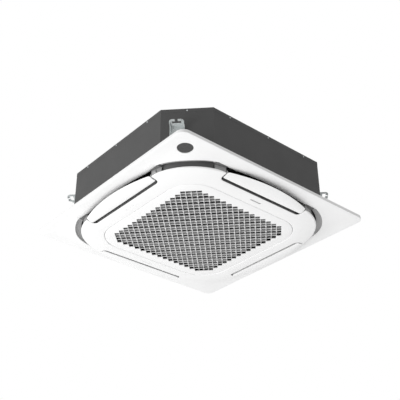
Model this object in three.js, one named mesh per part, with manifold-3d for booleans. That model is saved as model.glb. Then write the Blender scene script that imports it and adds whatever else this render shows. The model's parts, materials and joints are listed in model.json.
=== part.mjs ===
import * as THREE from 'three';
import { mergeVertices } from 'three/addons/utils/BufferGeometryUtils.js';
import Module from 'manifold-3d';

const wasm = await Module();
wasm.setup();

// Ceiling cassette air conditioner with an all-round outlet panel, in millimetres.
// The origin is the middle of the ceiling's lower face, +Z up: the panel hangs below it and the casing
// stands above it. One side of the square has its outward direction along -Y, and the other three sides
// are quarter turns of that one about Z.

// Clearances
const seatGap = 0.3;
const cutOverrun = 2;

// Panel plate, a shallow tray open at the top; its half width sets the plan of the whole unit
const panelHalf = 475;
const panelCorner = 32;
const panelDepth = 13;
const panelSkin = 3;
const stiffenerThickness = 2;
const stiffenerHeight = 7;
const stiffenerSpacing = 150;

// Rolled lip round the panel's opening: a quarter ellipse on a square outline with bowed sides,
// wide along the sides and steep in the corners
const lipInset = 35;
const lipSagShare = 0.245;
const lipCorner = 199;
const lipWidth = 35;
const lipCornerWidth = 6;
const lipFadeTurn = 0.61;
const lipHeight = 17;

// Bridges from the lip to the core, one beside each end of each vane
const bridgeFromPocket = 1;
const bridgeWidth = 46;

// Panel bolts
const boltRadius = 3;
const boltHeadRadius = 6;
const boltHeadHeight = 5;
const boltCounterbore = 7.5;
const boltReachIntoPan = 20;

// Domed core of the panel
const faceDrop = 48;
const openingCorner = 125;
const domeRadius = 403;
const coreSkin = 3;
const seamChamfer = 2.5;
const seamFlangeHeight = 14;
const outletDepth = 78;
const stripWidth = 55;
const lobeDepth = 47;
const ductCorner = 150;
const ductWall = 3;
const pocketEndInset = 6;
const pocketFillet = 15;
const pocketEndWall = 2.5;
const notchFromDuct = 24;
const notchLength = 55;
const notchWidth = 4.5;
const notchDepth = 1.2;

// Air vanes
const vaneEndGap = 3;
const vaneInnerGap = 11.5;
const vaneOuterGap = 3;
const vaneEndShare = 0.488;
const vaneInnerDrop = 42;
const vaneOuterDrop = 35;
const vaneThickness = 2.5;
const vaneEdge = 1.2;
const vaneCrown = 0.8;
const pivotShare = 13 / 22;
const pivotDrop = 24;
const vanePinRadius = 2;
const vaneEarThickness = 2.5;
const vaneEarWidth = 22;
const vaneEarRadius = 5;

// Vane motors and bushes
const vaneMotorSetback = 7;
const vaneMotorLength = 18;
const vanePinGrip = 3.5;
const bushRadius = 4;
const bushFlangeRadius = 6;
const bushLength = 6;
const bushFlange = 1.5;

// Sensor window in the near corner
const sensorFromEdge = 74;
const sensorRadius = 28.5;
const sensorFlange = 3.5;
const sensorThickness = 2;

// Return air grille, its lattice turned by an eighth turn
const seamGap = 1.5;
const cellPitch = 21.16;
const latticeMargin = 20;
const cellsInFirstColumn = 4;
const barWidth = 3.8;
const barDepth = 2.7;
const barBite = 0.15;
const grilleBand = 15;
const grilleRimWall = 2.5;
const grilleRimHeight = 6.5;
const slatThickness = 2.4;
const slatDepth = 11;
const slatLean = 9;
const ribDepth = 4;
const ribThickness = 2.4;

// Grille hinge
const hingeInset = 9.5;
const hingeDrop = 45.5;
const hingePinRadius = 1.2;
const hingePinGrip = 14;
const hingeBossHalf = 3.5;
const hingeBossRise = 4;
const hingeRelief = 1.2;

// Grille latch
const latchTravel = 4;
const latchPlate = 2.5;
const latchTongueHalf = 12;
const latchBodyHalf = 28;
const latchBodyLength = 30;
const latchBodyGap = 13;
const latchTipGap = 4;
const latchPlateDrop = 42.2;
const latchThumbWidth = 3;
const latchThumbHalf = 24;
const latchThumbSet = 1.2;
const latchCatchHalf = 10;
const latchCatchOverlap = 2.5;
const latchRailThickness = 2.5;
const latchRailHeight = 4;
const latchRoom = 3;

// Air filter on the grille
const filterInset = 32;
const filterCut = 56;
const filterBar = 8;
const filterRib = 3;
const filterThickness = 6;
const filterRibCount = 2;
const filterMeshThickness = 0.8;
const filterClipHalf = 12;
const filterClipThickness = 2;
const filterClipHook = 2.5;

// Casing above the ceiling
const casingInset = 55;
const casingCut = 138;
const casingBottom = 8;
const casingHeight = 204;
const sheet = 1.2;
const casingFlange = 8;
const topSkirt = 16;
const screwAcross = 5;
const screwHeight = 3;
const screwBelowTop = 9;
const screwFromEnd = 82;

// Foam lining
const linerThickness = 16;
const linerHoleGap = 5;

// Drain pan and the foam ring under it
const panHeight = 36.5;
const panHoleInset = 40;
const outletInset = 10;
const outletEndInset = 6;
const gutterInnerRoom = 10;
const gutterInnerCorner = 50;
const gutterOuterRoom = 14;
const gutterOuterCorner = 112;
const gutterDepth = 22;
const wellFromCorner = 61.4;
const wellRadius = 36;
const sealWidth = 6;

// Hanger brackets
const rodInsetX = 80;
const rodInsetY = 30;
const lugSheet = 2.5;
const lugWidth = 54;
const lugTop = 132;
const lugReach = 45;
const lugTipRadius = 8;
const lugMouth = 11;
const lugSlotLength = 32;
const lugSlotWidth = 12;
const lugFootHeight = 62;
const lugFlangeTip = 10;
const lugEmbossHalf = 9;
const lugEmbossRise = 2;
const lugScrewHalfSpacing = 15;
const lugScrewRises = [12, 46];

// Heat exchanger
const coilFromWall = 152;
const coilInnerCorner = 60;
const coilDepth = 38;
const coilEndInset = 36;
const tubeRadius = 4.8;
const tubePitch = 25;
const tubeRows = 6;
const bendReach = 14;
const gasHeaderRadius = 9;
const liquidHeaderRadius = 6;
const headerFromEnd = 30;
const gasHeaderInset = 10;
const liquidHeaderInset = 30;
const headerMargin = 24;

// Refrigerant pipes
const gasPipeRadius = 7.9;
const liquidPipeRadius = 4.75;
const pipeWall = 1;
const pipeReach = 48;
const gasPipeHeight = 110;
const liquidPipeHeight = 176;
const pipePlateHalf = 30;
const pipePlateMargin = 22;
const nutLength = 18;
const nutWall = 5;

// Fan wheel
const fanGap = 33;
const fanDiscHeight = 172;
const fanSkin = 3;
const hubRadius = 98;
const hubDomeHeight = 82;
const hubCollarRadius = 14;
const hubCollarLength = 20;
const bladeCount = 7;
const bladeRootInset = 22;
const bladeTipInset = 4;
const bladeSweep = 0.62;
const bladeThickness = 5;
const shroudInletGap = 7;
const shroudBottom = 52;
const shroudRise = 40;
const shroudSkin = 2.5;
const shroudOutShares = [0, 0.05, 0.3, 1];
const shroudUpShares = [0, 0.35, 0.7, 1];

// Fan inlet ring
const flareWidth = 23;
const flareInset = 40;
const inletFlangeLap = 12;
const inletSkin = 2;
const inletTop = 56;
const flareShares = [0, 0.08, 0.22, 0.45, 1];

// Fan motor
const motorRadius = 72;
const motorBottom = 100;
const motorTop = 176;
const motorFootReach = 102;
const motorFootWidth = 24;
const motorFootThickness = 3;
const shaftRadius = 5;
const shaftBottom = 64;
const shaftGrip = 20;
const fanNutRadius = 9;
const fanNutHeight = 7.7;
const fanNutFromEnd = 3;
const grommetRadius = 8;
const grommetHeight = 6.4;
const grommetFromMiddle = 92;
const mountSkin = 2;
const mountRadius = 115;
const mountFlange = 20;
const mountHole = 30;

// Control box
const boxHalfLength = 180;
const boxGap = 5;
const boxWidth = 59;
const boxHeight = 24.4;
const boardHalfLength = 60;
const boardMargin = 6;
const boardThickness = 1.6;
const boardStandoff = 10;
const standoffRadius = 3;
const chipCount = 3;
const chipSize = 20;
const chipThickness = 3.2;
const terminalLength = 60;
const terminalHeight = 18;
const terminalWidth = 26;
const terminalPoles = 5;
const capacitorRadius = 7;
const capacitorHeight = 12;

// Drain pump and its float
const pumpRadius = 30;
const pumpHeight = 42;
const pumpMotorRadius = 14;
const pumpOutletFromAxis = 24.5;
const pumpMotorHeight = 40;
const pumpFlangeRadius = 42;
const pumpFlangeThickness = 2;
const pumpNozzleRadius = 9;
const pumpNozzleReach = 16;
const floatRadius = 9;
const floatHeight = 8;
const floatFromAxis = 22;
const floatStemRadius = 2;
const floatTravel = 8;

// Drain hose and spout
const hoseRadius = 9;
const hoseRise = 45;
const hoseRun = 40;
const spoutRadius = 12.5;
const spoutWall = 2.5;
const spoutReach = 45;
const spoutHeight = 170;
const spoutFromCut = 32;
const spoutFlange = 8;

// Fresh air knock-out cover
const freshRadius = 37.5;
const freshFromMiddle = 120;
const freshHeight = 110;

// Fineness of curves
const lipSteps = 4;
const bowSteps = 6;
const bowCornerSteps = 6;
const openingCornerSteps = 6;
const panelCornerSteps = 4;
const domeSteps = 4;
const vaneSteps = 6;
const discRound = 24;
const wideRound = 18;
const middleRound = 12;
const smallRound = 6;
const filletSteps = 3;
const bendSteps = 6;
const hexagonSides = 6;

// Heights and places that follow from the sizes above
const quarterTurn = Math.PI / 2;
const eighthTurn = Math.PI / 4;
const sides = [0, 1, 2, 3];
const lipHalf = panelHalf - lipInset;
const ductHalf = lipHalf - outletDepth;
const openingHalf = ductHalf - stripWidth;
const pocketHalfLength = ductHalf - ductCorner - pocketEndInset;
const lipSag = outletDepth * lipSagShare;
const lipBow = (pocketHalfLength ** 2 / lipSag + lipSag) / 2;
const bridgeInner = pocketHalfLength + bridgeFromPocket;
const boltLateral = bridgeInner + bridgeWidth / 2;
const lipAtBolt = lipHalf - lipBow + Math.sqrt(lipBow ** 2 - boltLateral ** 2);
const boltFromMiddle = (ductHalf + lipAtBolt - lipWidth) / 2;
const notchFromMiddle = ductHalf - notchFromDuct;
const vaneHalfLength = pocketHalfLength - vaneEndGap;
const vaneInner = ductHalf + vaneInnerGap;
const vaneOuter = lipHalf - vaneOuterGap;
const vaneNarrowing = (vaneOuter - vaneInner) * vaneEndShare;
const vaneBow = (vaneHalfLength ** 2 / vaneNarrowing + vaneNarrowing) / 2;
const coreReach = stripWidth + lobeDepth;
const coreEdge = openingHalf + coreReach;
const pivotFromMiddle = ductHalf + (coreEdge - coreSkin - ductHalf) * pivotShare;
const sensorFromMiddle = panelHalf - sensorFromEdge;
const latchBodyInner = openingHalf + latchBodyGap;
const latchBodyOuter = latchBodyInner + latchBodyLength;
const latchTip = openingHalf - latchTipGap;
const filterHalf = openingHalf - filterInset;
const outletInner = ductHalf - outletInset;
const outletHalfLength = pocketHalfLength - outletEndInset;
const casingHalf = panelHalf - casingInset;
const wallHalfLength = casingHalf - casingCut;
const screwSpacing = wallHalfLength - screwFromEnd;
const spoutFromMiddle = wallHalfLength - spoutFromCut;
const [rodX, rodY] = [casingHalf - rodInsetX, casingHalf - rodInsetY];
const coilInner = casingHalf - coilFromWall;
const coilEnd = coilInner - coilEndInset;
const gutterInner = coilInner - gutterInnerRoom;
const gutterOuter = coilInner + coilDepth + gutterOuterRoom;
const panHole = coilInner - panHoleInset;
const fanRadius = coilInner - fanGap;
const flareRadius = panHole - flareInset;
const throatRadius = flareRadius - flareWidth;
const inletFlangeRadius = panHole + inletFlangeLap;
const shroudInletRadius = throatRadius + shroudInletGap;
const bladeInner = shroudInletRadius - bladeRootInset;
const bladeOuter = fanRadius - bladeTipInset;
const boxNear = flareRadius + boxGap;
const boxFar = boxNear + boxWidth;
const lipTop = lipHeight - panelDepth;
const lobeTop = -panelDepth - seatGap;
const grilleHalf = openingHalf - seamGap;
const grilleCorner = openingCorner - seamGap;
const latticeReach = (grilleHalf - grilleBand - latticeMargin) * Math.SQRT2;
const cellColumns = 2 * Math.floor(latticeReach / cellPitch) - cellsInFirstColumn;
const hingeX = -(openingHalf - hingeInset);
const barTop = barDepth - faceDrop;
const rowBottom = barTop + seatGap;
const grilleSkinTop = rowBottom + barBite;
const slatTop = rowBottom + slatDepth;
const filterBottom = slatTop + seatGap;
const filterTop = filterBottom + filterThickness;
const casingTop = casingBottom + casingHeight;
const plateUnderside = casingTop - sheet;
const flangeTop = casingBottom + sheet;
const panBottom = flangeTop + seatGap;
const panTop = panBottom + panHeight;
const gutterFloor = panTop - gutterDepth;
const ceilingOfLiner = plateUnderside - seatGap;
const linerSlabBottom = ceilingOfLiner - linerThickness;
const linerHole = mountRadius + mountFlange + linerHoleGap;
const insideSheet = sheet + seatGap;
const insideLiner = insideSheet + linerThickness;
const chamferDistance = (2 * casingHalf - casingCut) / Math.SQRT2;
const wellFromMiddle = chamferDistance - wellFromCorner;
const coilOuter = coilInner + coilDepth;
const coilBottom = gutterFloor + seatGap;
const coilTop = linerSlabBottom - seatGap;
const boxTop = panBottom - seatGap - inletSkin - seatGap;
const boxBottom = boxTop - boxHeight;
const grommetBottom = motorTop + motorFootThickness + seatGap;
const mountBottom = grommetBottom + grommetHeight;
const vaneMotorRadius = pivotDrop - panelDepth - seatGap;

// Turning meshes into solids and back

function solidOf(positions, corners) {
  const kept = [];
  for (let first = 0; first < corners.length; first += 3) {
    const [a, b, c] = [corners[first], corners[first + 1], corners[first + 2]];
    if (a !== b && b !== c && c !== a) {
      kept.push(a, b, c);
    }
  }
  const mesh = new wasm.Mesh({
    numProp: 3,
    vertProperties: Float32Array.from(positions),
    triVerts: Uint32Array.from(kept),
  });
  return new wasm.Manifold(mesh);
}

function solid(geometry) {
  const bare = geometry.clone();
  bare.deleteAttribute('normal');
  bare.deleteAttribute('uv');
  const merged = mergeVertices(bare);
  return solidOf(merged.attributes.position.array, merged.index.array);
}

function geometryOf(body) {
  const mesh = body.getMesh();
  const geometry = new THREE.BufferGeometry();
  geometry.setAttribute('position', new THREE.BufferAttribute(Float32Array.from(mesh.vertProperties), 3));
  geometry.setIndex(new THREE.BufferAttribute(Uint32Array.from(mesh.triVerts), 1));
  geometry.computeVertexNormals();
  return geometry;
}

function placed(body, matrix) {
  return solid(geometryOf(body).applyMatrix4(matrix));
}

function onSide(body, side) {
  return placed(body, new THREE.Matrix4().makeRotationZ(side * quarterTurn));
}

function shifted(body, x, y, z) {
  return placed(body, new THREE.Matrix4().makeTranslation(x, y, z));
}

function join(bodies) {
  return bodies.reduce((whole, body) => whole.add(body));
}

function cut(body, cutters) {
  return cutters.reduce((rest, cutter) => rest.subtract(cutter), body);
}

// Outlines seen from above: points with their outward directions

function arcStations(centreX, centreY, radius, from, to, steps) {
  const stations = [];
  for (let step = 0; step <= steps; step += 1) {
    const angle = from + ((to - from) * step) / steps;
    const [nx, ny] = [Math.cos(angle), Math.sin(angle)];
    stations.push({ x: centreX + radius * nx, y: centreY + radius * ny, nx, ny });
  }
  return stations;
}

function roundedSquare(half, corner, steps) {
  const stations = [];
  for (const side of sides) {
    const facing = side * quarterTurn;
    const reach = Math.SQRT2 * (half - corner);
    const [x, y] = [reach * Math.cos(facing + eighthTurn), reach * Math.sin(facing + eighthTurn)];
    stations.push(...arcStations(x, y, corner, facing, facing + quarterTurn, steps));
  }
  return stations;
}

// A square with bowed sides: half is the reach of a side's middle, bow the radius of the side
function bowedSquare(half, bow, corner) {
  const inward = bow - half;
  const between = bow - corner;
  const cornerCentre = (Math.sqrt(2 * between ** 2 - inward ** 2) - inward) / 2;
  const swing = Math.atan2(cornerCentre, cornerCentre + inward);
  const stations = [];
  for (const side of sides) {
    const facing = side * quarterTurn;
    const diagonal = facing + eighthTurn;
    const [bowX, bowY] = [-inward * Math.cos(facing), -inward * Math.sin(facing)];
    const reach = Math.SQRT2 * cornerCentre;
    const [x, y] = [reach * Math.cos(diagonal), reach * Math.sin(diagonal)];
    const sideArc = arcStations(bowX, bowY, bow, facing - swing, facing + swing, bowSteps);
    const cornerArc = arcStations(x, y, corner, facing + swing, facing + quarterTurn - swing, bowCornerSteps);
    stations.push(...sideArc, ...cornerArc.slice(1, -1));
  }
  return stations;
}

function outlineShape(stations, out = 0) {
  return new THREE.Shape(stations.map((at) => new THREE.Vector2(at.x + at.nx * out, at.y + at.ny * out)));
}

function pointShape(points) {
  return new THREE.Shape(points.map(([x, y]) => new THREE.Vector2(x, y)));
}

// The casing's octagon, drawn in by inset on every wall
function octagon(half, cutLeg, inset) {
  const reach = half - inset;
  const start = reach - (cutLeg - inset * (2 - Math.SQRT2));
  return pointShape([
    [-start, -reach], [start, -reach], [reach, -start], [reach, start],
    [start, reach], [-start, reach], [-reach, start], [-reach, -start],
  ]);
}

function regular(radius, count) {
  const points = [];
  for (let step = 0; step < count; step += 1) {
    const angle = ((step + 1 / 2) * 2 * Math.PI) / count;
    points.push([radius * Math.cos(angle), radius * Math.sin(angle)]);
  }
  return pointShape(points);
}

// Basic solids

function prism(shape, bottom, top) {
  const geometry = new THREE.ExtrudeGeometry(shape, {
    depth: top - bottom, bevelEnabled: false, curveSegments: filletSteps,
  });
  return solid(geometry.translate(0, 0, bottom));
}

// A shape drawn in (y, z), extruded along X
function across(shape, from, to) {
  const turn = new THREE.Matrix4().makeBasis(
    new THREE.Vector3(0, 1, 0), new THREE.Vector3(0, 0, 1), new THREE.Vector3(1, 0, 0),
  );
  return placed(prism(shape, from, to), turn);
}

function block(x0, x1, y0, y1, z0, z1) {
  const geometry = new THREE.BoxGeometry(x1 - x0, y1 - y0, z1 - z0);
  return solid(geometry.translate((x0 + x1) / 2, (y0 + y1) / 2, (z0 + z1) / 2));
}

function rod(radius, bottom, top, count) {
  return prism(regular(radius, count), bottom, top);
}

function rodAlongX(radius, from, to, y, z, count) {
  return shifted(across(regular(radius, count), from, to), 0, y, z);
}

function rodAlongY(radius, from, to, x, z, count) {
  const turned = placed(rod(radius, -to, -from, count), new THREE.Matrix4().makeRotationX(quarterTurn));
  return shifted(turned, x, 0, z);
}

// A profile of [radius, height] points, counterclockwise, turned about Z
function lathe(profile, count) {
  const points = profile.map(([radius, height]) => new THREE.Vector2(radius, height));
  return solid(new THREE.LatheGeometry(points, count).rotateX(quarterTurn));
}

function ringOf(inner, outer, bottom, top, count) {
  return lathe([[inner, bottom], [outer, bottom], [outer, top], [inner, top], [inner, bottom]], count);
}

// A solid skinned over rings with equal counts of points; a closed row of rings joins its own start
function loft(rings, closed) {
  const count = rings[0].length;
  const positions = rings.flat().flatMap((point) => [point.x, point.y, point.z]);
  const corners = [];
  const spans = closed ? rings.length : rings.length - 1;
  for (let ring = 0; ring < spans; ring += 1) {
    const here = ring * count;
    const next = ((ring + 1) % rings.length) * count;
    for (let point = 0; point < count; point += 1) {
      const after = (point + 1) % count;
      corners.push(here + point, next + point, next + after, here + point, next + after, here + after);
    }
  }
  if (!closed) {
    const last = (rings.length - 1) * count;
    for (let point = 1; point < count - 1; point += 1) {
      corners.push(0, point, point + 1, last, last + point + 1, last + point);
    }
  }
  return solidOf(positions, corners);
}

// A counterclockwise profile of [outward, height] points carried round an outline, the same
// everywhere or worked out for each station
function ringLoft(stations, profile) {
  const profileAt = typeof profile === 'function' ? profile : () => profile;
  const rings = stations.map((at) => profileAt(at).map(
    ([out, height]) => new THREE.Vector3(at.x + at.nx * out, at.y + at.ny * out, height),
  ));
  return loft(rings, true);
}

function tube(path, radius, steps, count) {
  return solid(new THREE.ExtrudeGeometry(regular(radius, count), {
    steps, bevelEnabled: false, extrudePath: path,
  }));
}

// Finishes

function finish(color, roughness, metalness) {
  return new THREE.MeshStandardMaterial({ color, roughness, metalness });
}

const whitePlastic = () => finish(0xf3f3f1, 0.5, 0);
const greyPlastic = () => finish(0xa9abad, 0.55, 0);
const darkPlastic = () => finish(0x4a4c4e, 0.5, 0);
const blackPlastic = () => finish(0x26272a, 0.6, 0);
const galvanised = () => finish(0x5c5e60, 0.5, 0.6);
const brightSteel = () => finish(0xb0b2b4, 0.4, 0.8);
const copper = () => finish(0xb8734a, 0.35, 0.9);
const brass = () => finish(0xc2a25a, 0.35, 0.9);
const aluminium = () => finish(0xc4c7ca, 0.4, 0.85);
const foam = () => finish(0xe4e4e0, 0.9, 0);
const darkFoam = () => finish(0x2f3032, 0.95, 0);
const greenBoard = () => finish(0x2f6b45, 0.6, 0);

function piece(name, body, material) {
  const mesh = new THREE.Mesh(geometryOf(body), material);
  mesh.name = name;
  return mesh;
}

// Panel frame: plate, rim, rolled lip, bridges and stiffeners

const lipOutline = bowedSquare(lipHalf, lipBow, lipCorner);

// The lip is wide where the outline runs along a side, and fades to its corner width as it turns
function lipWidthAt(at) {
  const along = Math.max(Math.abs(at.nx), Math.abs(at.ny));
  const share = Math.max(0, along - Math.cos(lipFadeTurn)) / (1 - Math.cos(lipFadeTurn));
  return lipCornerWidth + (lipWidth - lipCornerWidth) * Math.sin(quarterTurn * share);
}

// The lip's curve at a station, moved into its skin by inset
function lipCurve(at, inset) {
  const points = [];
  for (let step = 0; step <= lipSteps; step += 1) {
    const angle = (quarterTurn * step) / lipSteps;
    const out = (inset - lipWidthAt(at)) * Math.sin(angle);
    points.push([out, lipTop - (lipHeight - inset) * Math.cos(angle)]);
  }
  return points;
}

function panelTray() {
  const outline = roundedSquare(panelHalf, panelCorner, panelCornerSteps);
  const plateTop = panelSkin - panelDepth;
  const plate = prism(outlineShape(outline), -panelDepth, plateTop);
  const opening = prism(outlineShape(lipOutline), -panelDepth - cutOverrun, plateTop + cutOverrun);
  const rim = prism(outlineShape(outline), -panelDepth, 0);
  const inside = prism(outlineShape(outline, -panelSkin), -panelDepth - cutOverrun, cutOverrun);
  return plate.subtract(opening).add(rim.subtract(inside));
}

function lipSkin() {
  return ringLoft(lipOutline, (at) => [...lipCurve(at, 0).reverse(), ...lipCurve(at, panelSkin)]);
}

function bridges() {
  const inner = ductHalf + seatGap;
  const pair = join([1, -1].map((hand) => {
    const ends = [hand * bridgeInner, hand * (bridgeInner + bridgeWidth)];
    return block(Math.min(...ends), Math.max(...ends), -lipHalf, -inner, -panelDepth, lipTop);
  }));
  const behindLip = ringLoft(lipOutline, (at) => [
    ...lipCurve(at, panelSkin / 2).reverse(),
    [lipWidth, panelSkin / 2 - panelDepth],
    [lipWidth, lipTop + cutOverrun],
    [panelSkin / 2 - lipWidthAt(at), lipTop + cutOverrun],
  ]);
  return cut(join(sides.map((side) => onSide(pair, side))), [behindLip]);
}

function panelBoltHoles() {
  const [x, y] = [-boltLateral, -boltFromMiddle];
  const shank = rod(boltRadius + seatGap, -panelDepth, lipTop + cutOverrun, smallRound);
  const bore = rod(boltCounterbore, -panelDepth - cutOverrun, boltHeadHeight - panelDepth, smallRound);
  return sides.map((side) => onSide(shifted(shank.add(bore), x, y, 0), side));
}

function stiffeners() {
  const plateTop = panelSkin - panelDepth;
  const ribs = [];
  for (let place = -2; place <= 2; place += 1) {
    const middle = place * stiffenerSpacing;
    ribs.push(block(
      middle - stiffenerThickness / 2, middle + stiffenerThickness / 2,
      -panelHalf + panelSkin / 2, -lipHalf - stiffenerThickness,
      plateTop - panelSkin / 2, plateTop + stiffenerHeight,
    ));
  }
  return join(sides.map((side) => onSide(join(ribs), side)));
}

function panelFrame() {
  const sensorHole = shifted(
    rod(sensorRadius + seatGap, -panelDepth - cutOverrun, cutOverrun - panelDepth + panelSkin, discRound),
    sensorFromMiddle, -sensorFromMiddle, 0,
  );
  const body = join([panelTray(), lipSkin(), bridges(), stiffeners()]);
  return piece('panel_frame', cut(body, [sensorHole, ...panelBoltHoles()]), whitePlastic());
}

function sensorWindow() {
  const face = -panelDepth - seatGap;
  const flangeBottom = panelSkin - panelDepth + seatGap;
  const body = lathe([
    [0, face], [sensorRadius, face], [sensorRadius, flangeBottom],
    [sensorRadius + sensorFlange, flangeBottom],
    [sensorRadius + sensorFlange, flangeBottom + sensorThickness], [0, flangeBottom + sensorThickness],
  ], discRound);
  const mesh = piece('sensor_window', body, darkPlastic());
  mesh.position.set(sensorFromMiddle, -sensorFromMiddle, 0);
  return mesh;
}

function panelBolt(side) {
  const headTop = boltHeadHeight - panelDepth - seatGap;
  const head = prism(regular(boltHeadRadius, hexagonSides), headTop - boltHeadHeight, headTop);
  const shank = rod(boltRadius, headTop, panBottom + boltReachIntoPan, smallRound);
  const mesh = piece(`panel_bolt_${side + 1}`, head.add(shank), brightSteel());
  mesh.position.set(-boltLateral, -boltFromMiddle, 0);
  return mesh;
}

// Core of the panel

const coreOutline = roundedSquare(openingHalf, openingCorner, openingCornerSteps);

function domeHeight(out) {
  return out ** 2 / domeRadius / 2 - faceDrop;
}

function domePoints(lift) {
  const points = [];
  for (let step = 0; step <= domeSteps; step += 1) {
    const out = seamChamfer + ((coreReach - seamChamfer) * step) / domeSteps;
    points.push([out, domeHeight(out) + lift]);
  }
  return points;
}

function coreSkinRing() {
  const flangeTopHeight = seamFlangeHeight - faceDrop;
  const top = domePoints(coreSkin).slice(0, -1).reverse();
  return ringLoft(coreOutline, [
    [0, seamChamfer - faceDrop], ...domePoints(0),
    [coreReach, lobeTop], [coreReach - coreSkin, lobeTop],
    [coreReach - coreSkin, domeHeight(coreReach) + coreSkin],
    ...top, [seamChamfer, flangeTopHeight], [0, flangeTopHeight],
  ]);
}

function pocketShape() {
  const far = coreEdge + cutOverrun;
  const centre = pocketHalfLength - pocketFillet;
  const shape = new THREE.Shape();
  shape.moveTo(-pocketHalfLength, -far);
  shape.lineTo(pocketHalfLength, -far);
  shape.absarc(centre, -ductHalf - pocketFillet, pocketFillet, 0, quarterTurn, false);
  shape.absarc(-centre, -ductHalf - pocketFillet, pocketFillet, quarterTurn, 2 * quarterTurn, false);
  return shape;
}

// Everything below the dome's outer face raised by lift
function belowDome(lift) {
  const reach = coreReach + coreSkin;
  const deep = -faceDrop - cutOverrun;
  return ringLoft(coreOutline, [
    [-coreSkin, deep], [reach, deep], [reach, domeHeight(reach) + lift],
    ...domePoints(lift).reverse(), [-coreSkin, lift - faceDrop],
  ]);
}

// The walls that close the ends of the vanes' pockets
function pocketEnds() {
  const inner = -ductHalf - seatGap;
  const lobes = prism(outlineShape(coreOutline, coreReach - coreSkin / 2), -faceDrop, lobeTop);
  const ends = sides.map((side) => onSide(join([1, -1].map((hand) => {
    const walls = [hand * pocketHalfLength, hand * (pocketHalfLength + pocketEndWall)];
    return block(Math.min(...walls), Math.max(...walls), -coreEdge, inner, -faceDrop, lobeTop);
  })), side));
  return join(ends).intersect(lobes).subtract(belowDome(coreSkin / 2));
}

// The wall between the return air inside and the outlets outside
function innerDuctWall() {
  const outline = roundedSquare(ductHalf, ductCorner, panelCornerSteps);
  const outer = prism(outlineShape(outline), -faceDrop, panBottom - seatGap);
  const inner = prism(outlineShape(outline, -ductWall), -faceDrop - cutOverrun, panBottom);
  return piece('inner_duct_wall', cut(outer, [inner, belowDome(coreSkin + seatGap)]), darkFoam());
}

function vanePinHoles() {
  const from = pocketHalfLength - cutOverrun;
  const to = pocketHalfLength + pocketEndWall + cutOverrun;
  const motorEnd = rodAlongX(vanePinRadius + 2 * seatGap, from, to, -pivotFromMiddle, -pivotDrop, smallRound);
  const bushEnd = rodAlongX(bushRadius + seatGap, -to, -from, -pivotFromMiddle, -pivotDrop, smallRound);
  return sides.map((side) => onSide(motorEnd.add(bushEnd), side));
}

function thumbNotches() {
  const bottom = -faceDrop - cutOverrun;
  const half = notchLength / 2;
  const floor = domeHeight(notchFromMiddle - openingHalf) + notchDepth;
  const [near, far] = [-notchFromMiddle - notchWidth / 2, notchWidth / 2 - notchFromMiddle];
  const plain = block(-half, half, near, far, bottom, floor);
  const inner = notchFromMiddle - latchThumbWidth / 2 - latchTravel - 2 * seatGap;
  const outer = notchFromMiddle + latchThumbWidth / 2 + 2 * seatGap;
  const wide = block(inner, outer, -half, half, bottom, floor + coreSkin + cutOverrun);
  return [...[0, 2, 3].map((side) => onSide(plain, side)), wide];
}

function latchSlot() {
  const half = latchTongueHalf + latchRoom;
  const bottom = -latchPlateDrop - seatGap;
  return block(openingHalf - cutOverrun, openingHalf + seamChamfer + cutOverrun, -half, half, bottom, 0);
}

function latchRails() {
  const bottom = coreSkin / 2 + domeHeight(latchBodyInner - openingHalf);
  const top = latchPlate + latchRailHeight - latchPlateDrop;
  return join([1, -1].map((hand) => {
    const ends = [hand * (latchBodyHalf + seatGap), hand * (latchBodyHalf + seatGap + latchRailThickness)];
    return block(latchBodyInner, latchBodyOuter, Math.min(...ends), Math.max(...ends), bottom, top);
  })).subtract(belowDome(coreSkin / 2));
}

function hingeBlocks() {
  const reach = hingePinEnds();
  return join([1, -1].map((hand) => {
    const ends = [hand * reach.inner, hand * reach.outer];
    return block(
      hingeX - hingeBossHalf, hingeX + hingeBossHalf, Math.min(...ends), Math.max(...ends),
      -hingeDrop - hingePinRadius, hingeBossRise - hingeDrop,
    );
  }));
}

// Where the hinge line leaves the grille and enters the core, from the middle of that side
function hingeLineReach(half, corner) {
  const inset = half + hingeX;
  return half - corner + Math.sqrt(corner ** 2 - (corner - inset) ** 2);
}

function hingePinEnds() {
  return {
    inner: hingeLineReach(grilleHalf, grilleCorner) - hingePinGrip,
    outer: hingeLineReach(openingHalf, openingCorner) + hingePinGrip,
  };
}

function hingeBores() {
  const reach = hingePinEnds();
  return [1, -1].map((hand) => {
    const ends = [hand * (reach.inner - seatGap), hand * (reach.outer + seatGap)];
    return rodAlongY(
      hingePinRadius + seatGap, Math.min(...ends), Math.max(...ends), hingeX, -hingeDrop, smallRound,
    );
  });
}

function panelCore() {
  const pocket = prism(pocketShape(), -faceDrop - cutOverrun, -panelDepth + cutOverrun);
  const skin = cut(coreSkinRing(), sides.map((side) => onSide(pocket, side)));
  const opening = prism(outlineShape(coreOutline), -faceDrop - cutOverrun, 0);
  const hingeBosses = hingeBlocks().subtract(opening);
  const body = join([skin, pocketEnds(), hingeBosses, latchRails()]);
  const cutters = [...vanePinHoles(), ...thumbNotches(), latchSlot(), ...hingeBores()];
  return piece('panel_core', cut(body, cutters), whitePlastic());
}

function hingePins() {
  const reach = hingePinEnds();
  return [1, -1].map((hand, index) => {
    const ends = [hand * reach.inner, hand * reach.outer];
    const pin = rodAlongY(hingePinRadius, Math.min(...ends), Math.max(...ends), 0, 0, smallRound);
    const mesh = piece(`hinge_pin_${index + 1}`, pin, brightSteel());
    mesh.position.set(hingeX, 0, -hingeDrop);
    return mesh;
  });
}

// Air vanes, modelled about their pivots

function vaneOuterEdge(lateral) {
  return vaneOuter - (vaneBow - Math.sqrt(vaneBow ** 2 - lateral ** 2));
}

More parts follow.
